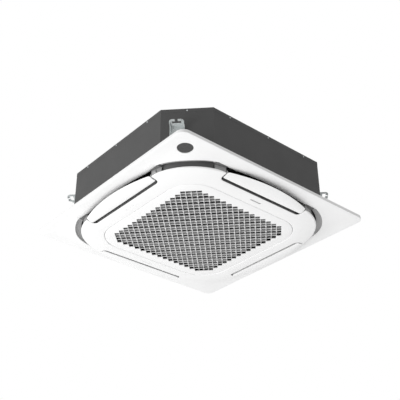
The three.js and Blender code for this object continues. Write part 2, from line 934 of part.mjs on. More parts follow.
function vaneSection(lateral) {
  const inner = pivotFromMiddle - vaneInner;
  const outer = pivotFromMiddle - vaneOuterEdge(lateral);
  const middle = (inner + outer) / 2;
  const innerZ = pivotDrop - vaneInnerDrop;
  const outerZ = pivotDrop - vaneOuterDrop;
  const middleZ = (innerZ + outerZ) / 2;
  const at = (y, z) => new THREE.Vector3(lateral, y, z);
  return [
    at(outer, outerZ), at(outer, outerZ + vaneEdge), at(middle, middleZ - vaneCrown + vaneThickness),
    at(inner, innerZ + vaneEdge), at(inner, innerZ), at(middle, middleZ - vaneCrown),
  ];
}

function vaneBlade() {
  const rings = [];
  for (let step = 0; step <= vaneSteps; step += 1) {
    rings.push(vaneSection(vaneHalfLength * ((2 * step) / vaneSteps - 1)));
  }
  return loft(rings, false);
}

function vaneEar(from, to) {
  const foot = pivotDrop - vaneInnerDrop + vaneEdge / 2;
  const half = vaneEarWidth / 2;
  const outline = pointShape([
    [-half, foot + vaneThickness], [-vaneEarRadius, vaneEarRadius], [vaneEarRadius, vaneEarRadius],
    [half, foot],
  ]);
  return across(outline, from, to);
}

function vane(side) {
  const earInner = vaneHalfLength - vaneEarThickness;
  const motorEnd = pocketHalfLength + vaneMotorSetback + vanePinGrip;
  const bushEnd = pocketHalfLength + bushLength;
  const body = join([
    vaneBlade(), vaneEar(earInner, vaneHalfLength), vaneEar(-vaneHalfLength, -earInner),
    rodAlongX(vanePinRadius, earInner, motorEnd, 0, 0, smallRound),
    rodAlongX(vanePinRadius, -bushEnd, -earInner, 0, 0, smallRound),
  ]);
  return piece(`vane_${side + 1}`, body, whitePlastic());
}

function vaneMotor(side) {
  const from = pocketHalfLength + vaneMotorSetback;
  const can = rodAlongX(vaneMotorRadius, from, from + vaneMotorLength, 0, 0, middleRound);
  const socket = rodAlongX(
    vanePinRadius + seatGap, from - cutOverrun, from + vanePinGrip + seatGap, 0, 0, smallRound,
  );
  return piece(`vane_motor_${side + 1}`, can.subtract(socket), greyPlastic());
}

function vaneBush(side) {
  const wallOuter = pocketHalfLength + pocketEndWall + seatGap;
  const sleeve = rodAlongX(bushRadius, -wallOuter - bushFlange, -pocketHalfLength, 0, 0, smallRound);
  const flange = rodAlongX(bushFlangeRadius, -wallOuter - bushFlange, -wallOuter, 0, 0, smallRound);
  const far = -pocketHalfLength - 2 * bushLength;
  const bore = rodAlongX(
    vanePinRadius + seatGap, far, cutOverrun - pocketHalfLength, 0, 0, smallRound,
  );
  return piece(`vane_bush_${side + 1}`, sleeve.add(flange).subtract(bore), greyPlastic());
}

// What repeats on every side: a vane on its pivots, its motor and bush, and a panel bolt
function sideGroup(side) {
  const turned = new THREE.Group();
  turned.rotation.z = side * quarterTurn;
  const pivot = new THREE.Group();
  pivot.position.set(0, -pivotFromMiddle, -pivotDrop);
  pivot.add(vane(side), vaneMotor(side), vaneBush(side));
  turned.add(pivot, panelBolt(side));
  return turned;
}

// Return air grille

function cellsInColumn(column) {
  return Math.min(cellsInFirstColumn + 2 * Math.min(column, cellColumns - 1 - column), cellColumns);
}

// Stepped outline of the lattice: the reach of each column, then back along the other half
function latticeShape() {
  const upper = [];
  for (let column = 0; column < cellColumns; column += 1) {
    const reach = (cellsInColumn(column) * cellPitch - barWidth) / 2;
    const rising = column === 0 || cellsInColumn(column) > cellsInColumn(column - 1);
    const falling = column === cellColumns - 1 || cellsInColumn(column) > cellsInColumn(column + 1);
    const left = (column - cellColumns / 2) * cellPitch + (rising ? barWidth / 2 : -barWidth / 2);
    const right = (column + 1 - cellColumns / 2) * cellPitch - (falling ? barWidth / 2 : -barWidth / 2);
    upper.push([left, reach], [right, reach]);
  }
  const corners = upper.filter(([, y], index) => {
    const before = upper[index - 1];
    const after = upper[index + 1];
    return !before || !after || before[1] !== y || after[1] !== y;
  });
  return pointShape([...corners, ...corners.map(([x, y]) => [x, -y]).reverse()].reverse());
}

function columnBars() {
  const bars = [];
  for (let line = 1; line < cellColumns; line += 1) {
    const middle = (line - cellColumns / 2) * cellPitch;
    const reach = (Math.min(cellsInColumn(line - 1), cellsInColumn(line)) * cellPitch) / 2;
    bars.push(block(middle - barWidth / 2, middle + barWidth / 2, -reach, reach, -faceDrop, barTop));
  }
  return join(bars);
}

// Behind the columns lie the rows: a deep slat on every other line, its top leaning to the near
// corner, and a thin rib between
function rowBars() {
  const bars = [];
  for (let line = 1; line < cellColumns; line += 1) {
    const middle = (line - cellColumns / 2) * cellPitch;
    const reach = (Math.min(cellsInColumn(line - 1), cellsInColumn(line)) * cellPitch) / 2;
    const leaning = line % 2 === 0;
    const depth = leaning ? slatDepth : ribDepth;
    const lean = leaning ? slatLean : 0;
    const thickness = leaning ? slatThickness : ribThickness;
    bars.push(across(pointShape([
      [middle, rowBottom], [middle + thickness, rowBottom],
      [middle + thickness - lean, rowBottom + depth], [middle - lean, rowBottom + depth],
    ]), -reach, reach));
  }
  return join(bars);
}

function grilleBandRing(outline) {
  const rimTop = grilleSkinTop + grilleRimHeight;
  return ringLoft(outline, [
    [-grilleBand, -faceDrop], [-seamChamfer, -faceDrop], [0, seamChamfer - faceDrop], [0, rimTop],
    [-grilleRimWall, rimTop], [-grilleRimWall, grilleSkinTop], [-grilleBand, grilleSkinTop],
  ]);
}

function latchCatch() {
  const tongueTop = latchPlate - latchPlateDrop;
  const reach = latchTip - seamGap;
  const post = reach - latchCatchOverlap * 2;
  const [hookBottom, hookTop] = [tongueTop + seatGap, tongueTop + latchPlate];
  const hook = block(post, reach, -latchCatchHalf, latchCatchHalf, hookBottom, hookTop);
  const stem = block(
    post - latchPlate, post, -latchCatchHalf, latchCatchHalf, grilleSkinTop - barBite, tongueTop + latchPlate,
  );
  return hook.add(stem);
}

function filterClips() {
  const inner = filterHalf + seatGap;
  const meshTop = filterTop + seatGap + filterMeshThickness + seatGap;
  const clip = block(
    -filterClipHalf, filterClipHalf, -inner - filterClipThickness, -inner, grilleSkinTop - barBite, meshTop,
  ).add(block(
    -filterClipHalf, filterClipHalf, -inner - filterClipThickness, filterClipHook - inner,
    meshTop, meshTop + filterClipThickness,
  ));
  return sides.map((side) => onSide(clip, side));
}

function intakeGrille() {
  const outline = roundedSquare(grilleHalf, grilleCorner, openingCornerSteps);
  const diagonal = new THREE.Matrix4().makeRotationZ(eighthTurn);
  const plate = prism(outlineShape(outline, -grilleBand), -faceDrop, grilleSkinTop);
  const lattice = placed(prism(latticeShape(), -faceDrop - cutOverrun, grilleSkinTop + cutOverrun), diagonal);
  const frame = grilleBandRing(outline).add(plate.subtract(lattice));
  const bars = [placed(columnBars(), diagonal), placed(rowBars(), diagonal)];
  const bosses = hingeBlocks().intersect(prism(outlineShape(outline, -hingeRelief), -faceDrop, 0));
  const half = latchTongueHalf + latchRoom;
  const latchNotch = block(
    grilleHalf - grilleRimWall - cutOverrun, openingHalf, -half, half, -latchPlateDrop - seatGap, 0,
  );
  const body = join([frame, ...bars, bosses, ...filterClips()]);
  const whole = cut(body, [latchNotch, ...hingeBores()]).add(latchCatch());
  return piece('intake_grille', whole, whitePlastic());
}

function latchSlide() {
  const bottom = -latchPlateDrop;
  const top = latchPlate - latchPlateDrop;
  const tongue = block(latchTip, latchBodyInner + cutOverrun, -latchTongueHalf, latchTongueHalf, bottom, top);
  const plate = block(latchBodyInner, latchBodyOuter, -latchBodyHalf, latchBodyHalf, bottom, top);
  const rib = block(
    notchFromMiddle - latchThumbWidth / 2, notchFromMiddle + latchThumbWidth / 2,
    -latchThumbHalf, latchThumbHalf, domeHeight(notchFromMiddle - openingHalf) + latchThumbSet, top,
  );
  return piece('latch_slide', join([tongue, plate, rib]), whitePlastic());
}

function filterFrame() {
  const outer = prism(octagon(filterHalf, filterCut, 0), filterBottom, filterTop);
  const inside = octagon(filterHalf, filterCut, filterBar);
  const inner = prism(inside, filterBottom - cutOverrun, filterTop + cutOverrun);
  const ribs = [];
  for (let rib = 1; rib <= filterRibCount; rib += 1) {
    const middle = filterHalf * ((2 * rib) / (filterRibCount + 1) - 1);
    const reach = filterHalf - filterBar / 2;
    const [near, far] = [middle - filterRib / 2, middle + filterRib / 2];
    ribs.push(block(near, far, -reach, reach, filterBottom, filterTop));
    ribs.push(block(-reach, reach, near, far, filterBottom, filterTop));
  }
  return piece('filter_frame', join([outer.subtract(inner), ...ribs]), blackPlastic());
}

function filterMesh() {
  const bottom = filterTop + seatGap;
  const body = prism(octagon(filterHalf, filterCut, filterBar / 2), bottom, bottom + filterMeshThickness);
  return piece('filter_mesh', body, blackPlastic());
}

// Casing, lining and drain pan

function pipeHoles(outside, inside) {
  const y = coilEnd + headerFromEnd;
  return [
    rodAlongX(gasPipeRadius + seatGap, -outside, -inside, y, gasPipeHeight, middleRound),
    rodAlongX(liquidPipeRadius + seatGap, -outside, -inside, y, liquidPipeHeight, middleRound),
  ];
}

function wallHoles() {
  const outside = casingHalf + cutOverrun;
  const inside = casingHalf - insideLiner - cutOverrun;
  const spoutHole = rodAlongY(
    spoutRadius + seatGap, inside, outside, -spoutFromMiddle, spoutHeight, middleRound,
  );
  return [...pipeHoles(outside, inside), spoutHole];
}

function casingShell() {
  const outer = prism(octagon(casingHalf, casingCut, 0), casingBottom, plateUnderside - seatGap);
  const inner = prism(octagon(casingHalf, casingCut, sheet), flangeTop, casingTop);
  const inFlange = octagon(casingHalf, casingCut, casingFlange);
  const mouth = prism(inFlange, casingBottom - cutOverrun, flangeTop + cutOverrun);
  return piece('casing_shell', cut(outer, [inner, mouth, ...wallHoles()]), galvanised());
}

function casingTopPlate() {
  const outer = prism(octagon(casingHalf, casingCut, -insideSheet), casingTop - topSkirt, casingTop);
  const inside = octagon(casingHalf, casingCut, -seatGap);
  const inner = prism(inside, casingTop - topSkirt - cutOverrun, plateUnderside);
  return piece('casing_top', outer.subtract(inner).add(casingScrews()), galvanised());
}

// A hexagon head whose axis points along -Y, its seat on the plane y = 0
function screwHead() {
  return placed(
    prism(regular(screwAcross, hexagonSides), 0, screwHeight), new THREE.Matrix4().makeRotationX(quarterTurn),
  );
}

function casingScrews() {
  const height = casingTop - screwBelowTop;
  const seat = casingHalf + insideSheet - sheet / 2;
  const corner = chamferDistance + insideSheet - sheet / 2;
  const onWall = join([-1, 0, 1].map((place) => shifted(screwHead(), place * screwSpacing, -seat, height)));
  const turn = new THREE.Matrix4().makeRotationZ(eighthTurn);
  const onChamfer = placed(shifted(screwHead(), 0, -corner, height), turn);
  return join(sides.map((side) => onSide(onWall.add(onChamfer), side)));
}

function insulationLiner() {
  const outer = prism(octagon(casingHalf, casingCut, insideSheet), panTop + seatGap, ceilingOfLiner);
  const inner = prism(octagon(casingHalf, casingCut, insideLiner), panTop - cutOverrun, linerSlabBottom);
  const hole = rod(linerHole, linerSlabBottom - cutOverrun, ceilingOfLiner + cutOverrun, wideRound);
  return piece('insulation_liner', cut(outer, [inner, hole, ...wallHoles()]), darkFoam());
}

// An outlet slot: straight inside, bowed outside along the top of the lip
function outletShape() {
  const outer = lipHalf - lipWidth;
  const bow = lipBow - lipWidth;
  const swing = Math.asin(outletHalfLength / bow);
  const shape = new THREE.Shape();
  shape.moveTo(outletHalfLength, -outletInner);
  shape.lineTo(-outletHalfLength, -outletInner);
  shape.absarc(0, bow - outer, bow, -quarterTurn - swing, swing - quarterTurn, false);
  return shape;
}

function drainPan() {
  const outer = prism(octagon(casingHalf, casingCut, insideSheet), panBottom, panTop);
  const slot = prism(outletShape(), panBottom - cutOverrun, panTop + cutOverrun);
  const hole = rod(panHole, panBottom - cutOverrun, panTop + cutOverrun, wideRound);
  const gutterOutline = roundedSquare(gutterOuter, gutterOuterCorner, panelCornerSteps);
  const island = roundedSquare(gutterInner, gutterInnerCorner, panelCornerSteps);
  const gutter = prism(outlineShape(gutterOutline), gutterFloor, panTop + cutOverrun)
    .subtract(prism(outlineShape(island), gutterFloor - cutOverrun, panTop + 2 * cutOverrun));
  const place = wellFromMiddle / Math.SQRT2;
  const well = shifted(rod(wellRadius, gutterFloor, panTop + cutOverrun, middleRound), -place, place, 0);
  const boltHole = shifted(
    rod(boltRadius + seatGap, panBottom - cutOverrun, panBottom + boltReachIntoPan + seatGap, smallRound),
    -boltLateral, -boltFromMiddle, 0,
  );
  const repeats = sides.flatMap((side) => [onSide(slot, side), onSide(boltHole, side)]);
  return piece('drain_pan', cut(outer, [hole, gutter, well, ...repeats]), darkFoam());
}

function outletSeal() {
  const [bottom, top] = [lipTop + seatGap, panBottom - seatGap];
  const body = ringLoft(lipOutline, [
    [-lipWidth, bottom], [sealWidth - lipWidth, bottom], [sealWidth - lipWidth, top], [-lipWidth, top],
  ]);
  return piece('outlet_seal', body, darkFoam());
}

// Hanger brackets: x points straight out of the casing's cut corner, from the corner's face

function lugPlate() {
  const half = lugWidth / 2;
  const rodOut = (rodX + rodY) / Math.SQRT2 - chamferDistance;
  const shape = new THREE.Shape();
  shape.moveTo(seatGap, -half);
  shape.absarc(lugReach - lugTipRadius, lugTipRadius - half, lugTipRadius, -quarterTurn, 0, false);
  shape.absarc(lugReach - lugTipRadius, half - lugTipRadius, lugTipRadius, 0, quarterTurn, false);
  shape.lineTo(seatGap, half);
  const [bottom, top] = [lugTop - lugSheet, lugTop];
  const cutters = [
    block(
      rodOut - lugSlotWidth / 2, rodOut + lugSlotWidth / 2, -lugSlotLength / 2, lugSlotLength / 2,
      bottom - cutOverrun, top + cutOverrun,
    ),
    block(rodOut, lugReach + cutOverrun, -lugMouth / 2, lugMouth / 2, bottom - cutOverrun, top + cutOverrun),
  ];
  return cut(prism(shape, bottom, top), cutters);
}

function lugGusset() {
  const foot = lugTop - lugFootHeight;
  const tip = lugReach - lugTipRadius;
  const shape = pointShape([
    [seatGap, foot], [seatGap + lugSheet, foot], [tip, lugTop - lugSheet - lugFlangeTip],
    [tip, lugTop - lugSheet / 2], [seatGap, lugTop - lugSheet / 2],
  ]);
  const standing = placed(prism(shape, 0, lugSheet), new THREE.Matrix4().makeRotationX(quarterTurn));
  return [shifted(standing, 0, lugWidth / 2, 0), shifted(standing, 0, lugSheet - lugWidth / 2, 0)];
}

function lugScrews() {
  const outward = placed(screwHead(), new THREE.Matrix4().makeRotationZ(quarterTurn));
  const foot = lugTop - lugFootHeight;
  return lugScrewRises.flatMap((rise) => [1, -1].map(
    (hand) => shifted(outward, seatGap + lugSheet / 2, hand * lugScrewHalfSpacing, foot + rise),
  ));
}

function hangerBracket(corner) {
  const half = lugWidth / 2;
  const foot = lugTop - lugFootHeight;
  const back = block(seatGap, seatGap + lugSheet, -half, half, foot, lugTop);
  const middle = (foot + lugTop) / 2;
  const emboss = new THREE.CylinderGeometry(
    lugEmbossHalf, lugEmbossHalf + lugEmbossRise, lugEmbossRise + lugSheet / 2, smallRound,
  ).rotateZ(-quarterTurn).translate(seatGap + lugSheet + lugEmbossRise / 2 - lugSheet / 4, 0, middle);
  const body = join([back, lugPlate(), ...lugGusset(), solid(emboss), ...lugScrews()]);
  return piece(`hanger_bracket_${corner + 1}`, body, brightSteel());
}

// Each bracket's place: on its cut corner, shifted along the corner towards the rod
function bracketPlace(corner) {
  const angle = corner * quarterTurn - eighthTurn;
  const slide = (rodY - rodX) / Math.SQRT2;
  const hand = corner % 2 === 0 ? -1 : 1;
  const group = new THREE.Group();
  group.position.set(
    chamferDistance * Math.cos(angle) - hand * slide * Math.sin(angle),
    chamferDistance * Math.sin(angle) + hand * slide * Math.cos(angle), 0,
  );
  group.rotation.z = angle;
  return group;
}

// Heat exchanger

function coilFins() {
  const outline = roundedSquare(coilInner, coilInnerCorner, panelCornerSteps);
  const ring = ringLoft(outline, [
    [0, coilBottom], [coilDepth, coilBottom], [coilDepth, coilTop], [0, coilTop],
  ]);
  const far = coilOuter + cutOverrun;
  const gap = block(-far, -coilEnd, coilEnd, far, coilBottom - cutOverrun, coilTop + cutOverrun);
  return piece('coil_fins', ring.subtract(gap), aluminium());
}

// The plate on the pipe side, and the plate on the other end with its return bends
function headerPlate() {
  const body = block(
    -coilOuter, -coilInner, coilEnd + seatGap, coilEnd + seatGap + sheet, coilBottom, coilTop,
  );
  return piece('coil_plate_1', body, galvanised());
}

// Half a turn out along -X and back, from the lower tube to the upper
class ReturnBend extends THREE.Curve {
  constructor(x, y, low, high) {
    super();
    Object.assign(this, { x, y, low, high });
  }

  getPoint(share) {
    const angle = Math.PI * share;
    const half = (this.high - this.low) / 2;
    const out = bendReach * Math.sin(angle);
    return new THREE.Vector3(this.x - out, this.y, this.low + half * (1 - Math.cos(angle)));
  }
}

function bendPlate() {
  const [from, to] = [-coilEnd - seatGap - sheet, -coilEnd - seatGap];
  const middle = (coilInner + coilOuter) / 2;
  const start = from + sheet / 2;
  const lowest = coilBottom + tubePitch / 2;
  const bends = [];
  for (let row = 0; row < tubeRows; row += 2) {
    const [low, high] = [lowest + row * tubePitch, lowest + (row + 1) * tubePitch];
    bends.push(tube(new ReturnBend(start, middle, low, high), tubeRadius, bendSteps, smallRound));
  }
  const plate = block(from, to, coilInner, coilOuter, coilBottom, coilTop);
  return piece('coil_plate_2', join([plate, ...bends]), galvanised());
}

// An upright header with its stubs to the coil's plate
function header(name, radius, inset, top) {
  const start = coilEnd + 2 * seatGap + sheet;
  const y = coilEnd + headerFromEnd;
  const x = inset - coilOuter;
  const bottom = coilBottom + headerMargin;
  const stubs = [];
  for (let row = 1; row < tubeRows - 1; row += 1) {
    stubs.push(rodAlongY(radius / 2, start, y, x, bottom + (row * tubePitch) / 2, smallRound));
  }
  const upright = shifted(rod(radius, bottom, top, middleRound), x, y, 0);
  return piece(name, join([upright, ...stubs]), copper());
}

// Refrigerant pipes

function pipe(name, radius, startX, height) {
  const y = coilEnd + headerFromEnd;
  const from = -casingHalf - pipeReach;
  const outer = rodAlongX(radius, from, startX, y, height, smallRound);
  const bore = rodAlongX(radius - pipeWall, from - cutOverrun, startX - pipeReach, y, height, smallRound);
  return piece(name, outer.subtract(bore), copper());
}

function flareNut(name, radius, height) {
  const y = coilEnd + headerFromEnd;
  const to = -casingHalf - pipeReach + nutLength;
  const hexagon = rodAlongX(radius + nutWall, to - nutLength, to, y, height, hexagonSides);
  const bore = rodAlongX(
    radius + seatGap, to - nutLength - cutOverrun, to + cutOverrun, y, height, smallRound,
  );
  return piece(name, hexagon.subtract(bore), brass());
}

function pipePlate() {
  const y = coilEnd + headerFromEnd;
  const face = casingHalf + seatGap;
  const top = Math.min(liquidPipeHeight + pipePlateMargin, casingTop - topSkirt - seatGap);
  const plate = block(
    -face - sheet, -face, y - pipePlateHalf, wallHalfLength, gasPipeHeight - pipePlateMargin, top,
  );
  return piece('pipe_plate', cut(plate, pipeHoles(face + sheet + cutOverrun, casingHalf)), galvanised());
}

// Fan wheel, its motor and its inlet

function shroudLine(lift) {
  const rim = fanRadius - shroudInletRadius;
  return shroudOutShares.map((outShare, index) => [
    shroudInletRadius + outShare * rim, shroudBottom + shroudUpShares[index] * shroudRise + lift,
  ]);
}

function fanShroud() {
  const body = lathe([...shroudLine(0), ...shroudLine(shroudSkin).reverse(), shroudLine(0)[0]], wideRound);
  return piece('fan_shroud', body, darkPlastic());
}

function fanHub() {
  const bore = shaftRadius + seatGap;
  const collarBottom = shaftBottom + fanNutFromEnd + fanNutHeight + seatGap;
  const collarTop = collarBottom + hubCollarLength;
  const shoulder = motorBottom - fanSkin - fanSkin;
  const flat = hubRadius / 2 - hubCollarRadius;
  const edge = hubRadius - hubCollarRadius / 2;
  const waist = motorBottom + 2 * hubCollarRadius;
  const foot = fanDiscHeight - 2 * hubCollarRadius;
  const discBottom = fanDiscHeight - fanSkin;
  const [skirt, root] = [hubRadius + hubCollarRadius, hubRadius + 2 * hubCollarRadius];
  const outside = [
    [bore, collarBottom], [hubCollarRadius, collarBottom], [hubCollarRadius, hubDomeHeight],
    [flat, hubDomeHeight], [edge, shoulder], [hubRadius, waist], [skirt, foot], [root, discBottom],
    [fanRadius, discBottom], [fanRadius, fanDiscHeight],
  ];
  const inside = [
    [root - fanSkin, fanDiscHeight], [skirt - fanSkin, foot], [hubRadius - fanSkin, waist],
    [edge - fanSkin, shoulder + fanSkin], [flat, hubDomeHeight + fanSkin],
    [hubCollarRadius, hubDomeHeight + fanSkin], [hubCollarRadius, collarTop], [bore, collarTop],
    [bore, collarBottom],
  ];
  return lathe([...outside, ...inside], wideRound);
}

// One backward-swept blade, from the shroud's upper face to the disc
function fanBlade() {
  const steps = smallRound / 2;
  const line = (offset) => {
    const points = [];
    for (let step = 0; step <= steps; step += 1) {
      const share = step / steps;
      const radius = bladeInner + (bladeOuter - bladeInner) * share;
      const angle = -bladeSweep * share ** 2;
      const normal = angle + quarterTurn;
      points.push([
        radius * Math.cos(angle) + offset * Math.cos(normal),
        radius * Math.sin(angle) + offset * Math.sin(normal),
      ]);
    }
    return points;
  };
  const shape = pointShape([...line(-bladeThickness / 2), ...line(bladeThickness / 2).reverse()]);
  return prism(shape, shroudBottom + shroudRise / 2, fanDiscHeight - fanSkin / 2);
}

function turboFan() {
  const lift = shroudSkin + seatGap;
  const wide = fanRadius + cutOverrun;
  const underShroud = lathe([
    [0, 0], [wide, 0], [wide, shroudBottom + shroudRise + lift], ...shroudLine(lift).reverse(),
    [0, shroudBottom + lift], [0, 0],
  ], wideRound);
  const blades = [];
  for (let blade = 0; blade < bladeCount; blade += 1) {
    const turn = new THREE.Matrix4().makeRotationZ((blade * 2 * Math.PI) / bladeCount);
    blades.push(placed(fanBlade(), turn));
  }
  return piece('turbo_fan', fanHub().add(join(blades).subtract(underShroud)), darkPlastic());
}

// The shaft with the nut that holds the wheel on it
function motorShaft() {
  const bottom = shaftBottom + fanNutFromEnd;
  const nut = prism(regular(fanNutRadius, hexagonSides), bottom, bottom + fanNutHeight);
  const shaft = rod(shaftRadius, shaftBottom, motorBottom + shaftGrip, middleRound);
  return piece('motor_shaft', shaft.add(nut), brightSteel());
}

function fanMotor() {
  const can = rod(motorRadius, motorBottom, motorTop, wideRound);
  const boreTop = motorBottom + shaftGrip + seatGap;
  const bore = rod(shaftRadius + seatGap, motorBottom - cutOverrun, boreTop, middleRound);
  const foot = block(
    motorRadius / 2, motorFootReach, -motorFootWidth / 2, motorFootWidth / 2,
    motorTop - motorFootThickness / 2, motorTop + motorFootThickness,
  );
  const feet = sides.map((side) => onSide(foot, side));
  return piece('fan_motor', join([can.subtract(bore), ...feet]), blackPlastic());
}

function motorMount() {
  const top = ceilingOfLiner;
  const body = lathe([
    [mountHole, mountBottom], [mountRadius, mountBottom], [mountRadius, top - mountSkin],
    [mountRadius + mountFlange, top - mountSkin], [mountRadius + mountFlange, top],
    [mountRadius - mountSkin, top], [mountRadius - mountSkin, mountBottom + mountSkin],
    [mountHole, mountBottom + mountSkin], [mountHole, mountBottom],
  ], wideRound);
  const grommet = shifted(
    rod(grommetRadius, grommetBottom, mountBottom + mountSkin / 2, smallRound), grommetFromMiddle, 0, 0,
  );
  return piece('motor_mount', join([body, ...sides.map((side) => onSide(grommet, side))]), galvanised());
}

function bellMouth() {
  const top = panBottom - seatGap;
  const bottom = top - inletSkin;
  const flare = (inset) => flareShares.map((share, index) => {
    const fall = index / (flareShares.length - 1);
    const narrowing = flareWidth * (1 - (1 - fall) ** 2);
    return [flareRadius - narrowing + inset, bottom + share * (inletTop - bottom)];
  });
  const inner = flare(0);
  const outer = flare(inletSkin).slice(1);
  const body = lathe([
    inner[0], [inletFlangeRadius, bottom], [inletFlangeRadius, top], [flareRadius + inletSkin, top],
    ...outer, ...inner.slice(1).reverse(), inner[0],
  ], wideRound);
  return piece('bell_mouth', body, darkPlastic());
}

// Control box beside the fan inlet, open below and closed by its cover

function controlBox() {
  const outer = block(-boxHalfLength, boxHalfLength, boxNear, boxFar, boxBottom, boxTop);
  const inner = block(
    sheet - boxHalfLength, boxHalfLength - sheet, boxNear + sheet, boxFar - sheet,
    boxBottom - cutOverrun, boxTop - sheet,
  );
  const posts = [];
  for (const x of [-1, 1]) {
    for (const y of [boxNear + 2 * boardMargin, boxFar - 2 * boardMargin]) {
      posts.push(shifted(
        rod(standoffRadius, boxTop - sheet - boardStandoff, boxTop - sheet / 2, smallRound),
        boardPlace() + x * (boardHalfLength - boardMargin), y, 0,
      ));
    }
  }
  return piece('control_box', join([outer.subtract(inner), ...posts]), galvanised());
}

function boardPlace() {
  return boardHalfLength - boxHalfLength + 2 * boardMargin;
}

function controlBoxCover() {
  const top = boxBottom - seatGap;
  const body = block(-boxHalfLength, boxHalfLength, boxNear, boxFar, top - sheet, top);
  return piece('control_box_cover', body, galvanised());
}

function circuitBoard() {
  const top = boxTop - sheet - boardStandoff - seatGap;
  const middle = boardPlace();
  const board = block(
    middle - boardHalfLength, middle + boardHalfLength, boxNear + boardMargin, boxFar - boardMargin,
    top - boardThickness, top,
  );
  const chips = [];
  for (let chip = 0; chip < chipCount; chip += 1) {
    const x = middle + ((2 * chip - chipCount) / chipCount) * boardHalfLength + chipSize;
    const y = (boxNear + boxFar) / 2;
    const half = chipSize / 2;
    const bottom = top - boardThickness - chipThickness;
    chips.push(block(x - half, x + half, y - half, y + half, bottom, top - boardThickness / 2));
  }
  const canMiddle = middle + boardHalfLength - 2 * capacitorRadius;
  const can = shifted(
    rod(capacitorRadius, top - capacitorHeight, top - boardThickness / 2, middleRound),
    canMiddle, (boxNear + boxFar) / 2, 0,
  );
  return piece('circuit_board', join([board, ...chips, can]), greenBoard());
}

function terminalBlock() {
  const [middleX, middleY] = [boxHalfLength / 4, (boxNear + boxFar) / 2];
  const top = boxTop - sheet - seatGap;
  const half = terminalLength / 2;
  const body = block(
    middleX - half, middleX + half, middleY - terminalWidth / 2, middleY + terminalWidth / 2,
    top - terminalHeight, top,
  );
  const pitch = terminalLength / terminalPoles;
  const wells = [];
  for (let pole = 0; pole < terminalPoles; pole += 1) {
    const x = middleX - half + pitch * (pole + 1 / 2);
    const [reach, depth] = [pitch / 3, terminalHeight / 3];
    wells.push(block(
      x - reach, x + reach, middleY - reach, middleY + reach,
      top - terminalHeight - cutOverrun, top - terminalHeight + depth,
    ));
  }
  return piece('terminal_block', cut(body, wells), whitePlastic());
}

// Drain pump in its well, its float, hose and spout

const pumpPlace = wellFromMiddle / Math.SQRT2;
const pumpFlangeBottom = panTop + seatGap;
const pumpBodyTop = pumpFlangeBottom + pumpFlangeThickness + pumpHeight;

function drainPump() {
  const flange = pumpFlangeBottom + pumpFlangeThickness;
  const nozzleBottom = pumpFlangeBottom - pumpNozzleReach;
  const body = lathe([
    [0, nozzleBottom], [pumpNozzleRadius, nozzleBottom], [pumpNozzleRadius, pumpFlangeBottom],
    [pumpFlangeRadius, pumpFlangeBottom], [pumpFlangeRadius, flange], [pumpRadius, flange],
    [pumpRadius, pumpBodyTop], [pumpMotorRadius, pumpBodyTop],
    [pumpMotorRadius, pumpBodyTop + pumpMotorHeight], [0, pumpBodyTop + pumpMotorHeight],
  ], middleRound);
  const stem = shifted(
    rod(floatStemRadius, gutterFloor + seatGap, flange, smallRound), floatFromAxis, 0, 0,
  );
  const mesh = piece('drain_pump', body.add(stem), whitePlastic());
  mesh.position.set(-pumpPlace, pumpPlace, 0);
  return mesh;
}

function pumpFloat() {
  const bottom = pumpFlangeBottom - floatTravel - floatHeight - 2 * seatGap;
  const body = ringOf(floatStemRadius + seatGap, floatRadius, bottom, bottom + floatHeight, middleRound);
  const mesh = piece('pump_float', body, foam());
  mesh.position.set(floatFromAxis - pumpPlace, pumpPlace, 0);
  return mesh;
}

// The hose rises from the pump's shoulder and bends over into the spout
function drainHose() {
  const side = pumpOutletFromAxis * Math.SQRT1_2;
  const inner = casingHalf - insideLiner - spoutFlange - seatGap;
  const foot = new THREE.Vector3(side - pumpPlace, side + pumpPlace, pumpBodyTop + seatGap);
  const head = new THREE.Vector3(-spoutFromMiddle, inner, spoutHeight);
  const route = new THREE.CubicBezierCurve3(
    foot, foot.clone().setZ(foot.z + hoseRise), head.clone().setY(inner - hoseRun), head,
  );
  return piece('drain_hose', tube(route, hoseRadius, 2 * bendSteps, smallRound), greyPlastic());
}

function drainSpout() {
  const from = casingHalf - insideLiner - spoutFlange;
  const to = casingHalf + spoutReach;
  const face = casingHalf + seatGap;
  const round = (radius, near, far) => rodAlongY(
    radius, near, far, -spoutFromMiddle, spoutHeight, middleRound,
  );
  const body = round(spoutRadius, from, to).add(round(spoutRadius + spoutFlange, face, face + spoutWall));
  const bore = round(spoutRadius - spoutWall, from + spoutFlange, to + cutOverrun);
  return piece('drain_spout', body.subtract(bore), greyPlastic());
}

function freshAirCover() {
  const face = casingHalf + seatGap;
  const round = (radius, near, far) => rodAlongY(
    radius, near, far, freshFromMiddle, freshHeight, wideRound,
  );
  const disc = round(freshRadius, face, face + sheet);
  const raised = round(freshRadius / 2, face + sheet / 2, face + 2 * sheet);
  return piece('fresh_air_cover', disc.add(raised), galvanised());
}

// Assembly

const cassette = new THREE.Group();
cassette.add(panelFrame(), panelCore(), innerDuctWall(), sensorWindow(), outletSeal());
cassette.add(intakeGrille(), filterFrame(), filterMesh(), latchSlide(), ...hingePins());
cassette.add(...sides.map(sideGroup));
cassette.add(casingShell(), casingTopPlate(), insulationLiner(), drainPan());
for (const corner of sides) {
  const place = bracketPlace(corner);
  place.add(hangerBracket(corner));
  cassette.add(place);
}
cassette.add(coilFins(), headerPlate(), bendPlate());
const [gasHeaderTop, liquidHeaderTop] = [gasPipeHeight + headerMargin, liquidPipeHeight + headerMargin / 2];
const gasStart = gasHeaderInset - coilOuter - gasHeaderRadius - seatGap;
const liquidStart = liquidHeaderInset - coilOuter - liquidHeaderRadius - seatGap;
cassette.add(header('gas_header', gasHeaderRadius, gasHeaderInset, gasHeaderTop));
cassette.add(header('liquid_header', liquidHeaderRadius, liquidHeaderInset, liquidHeaderTop));
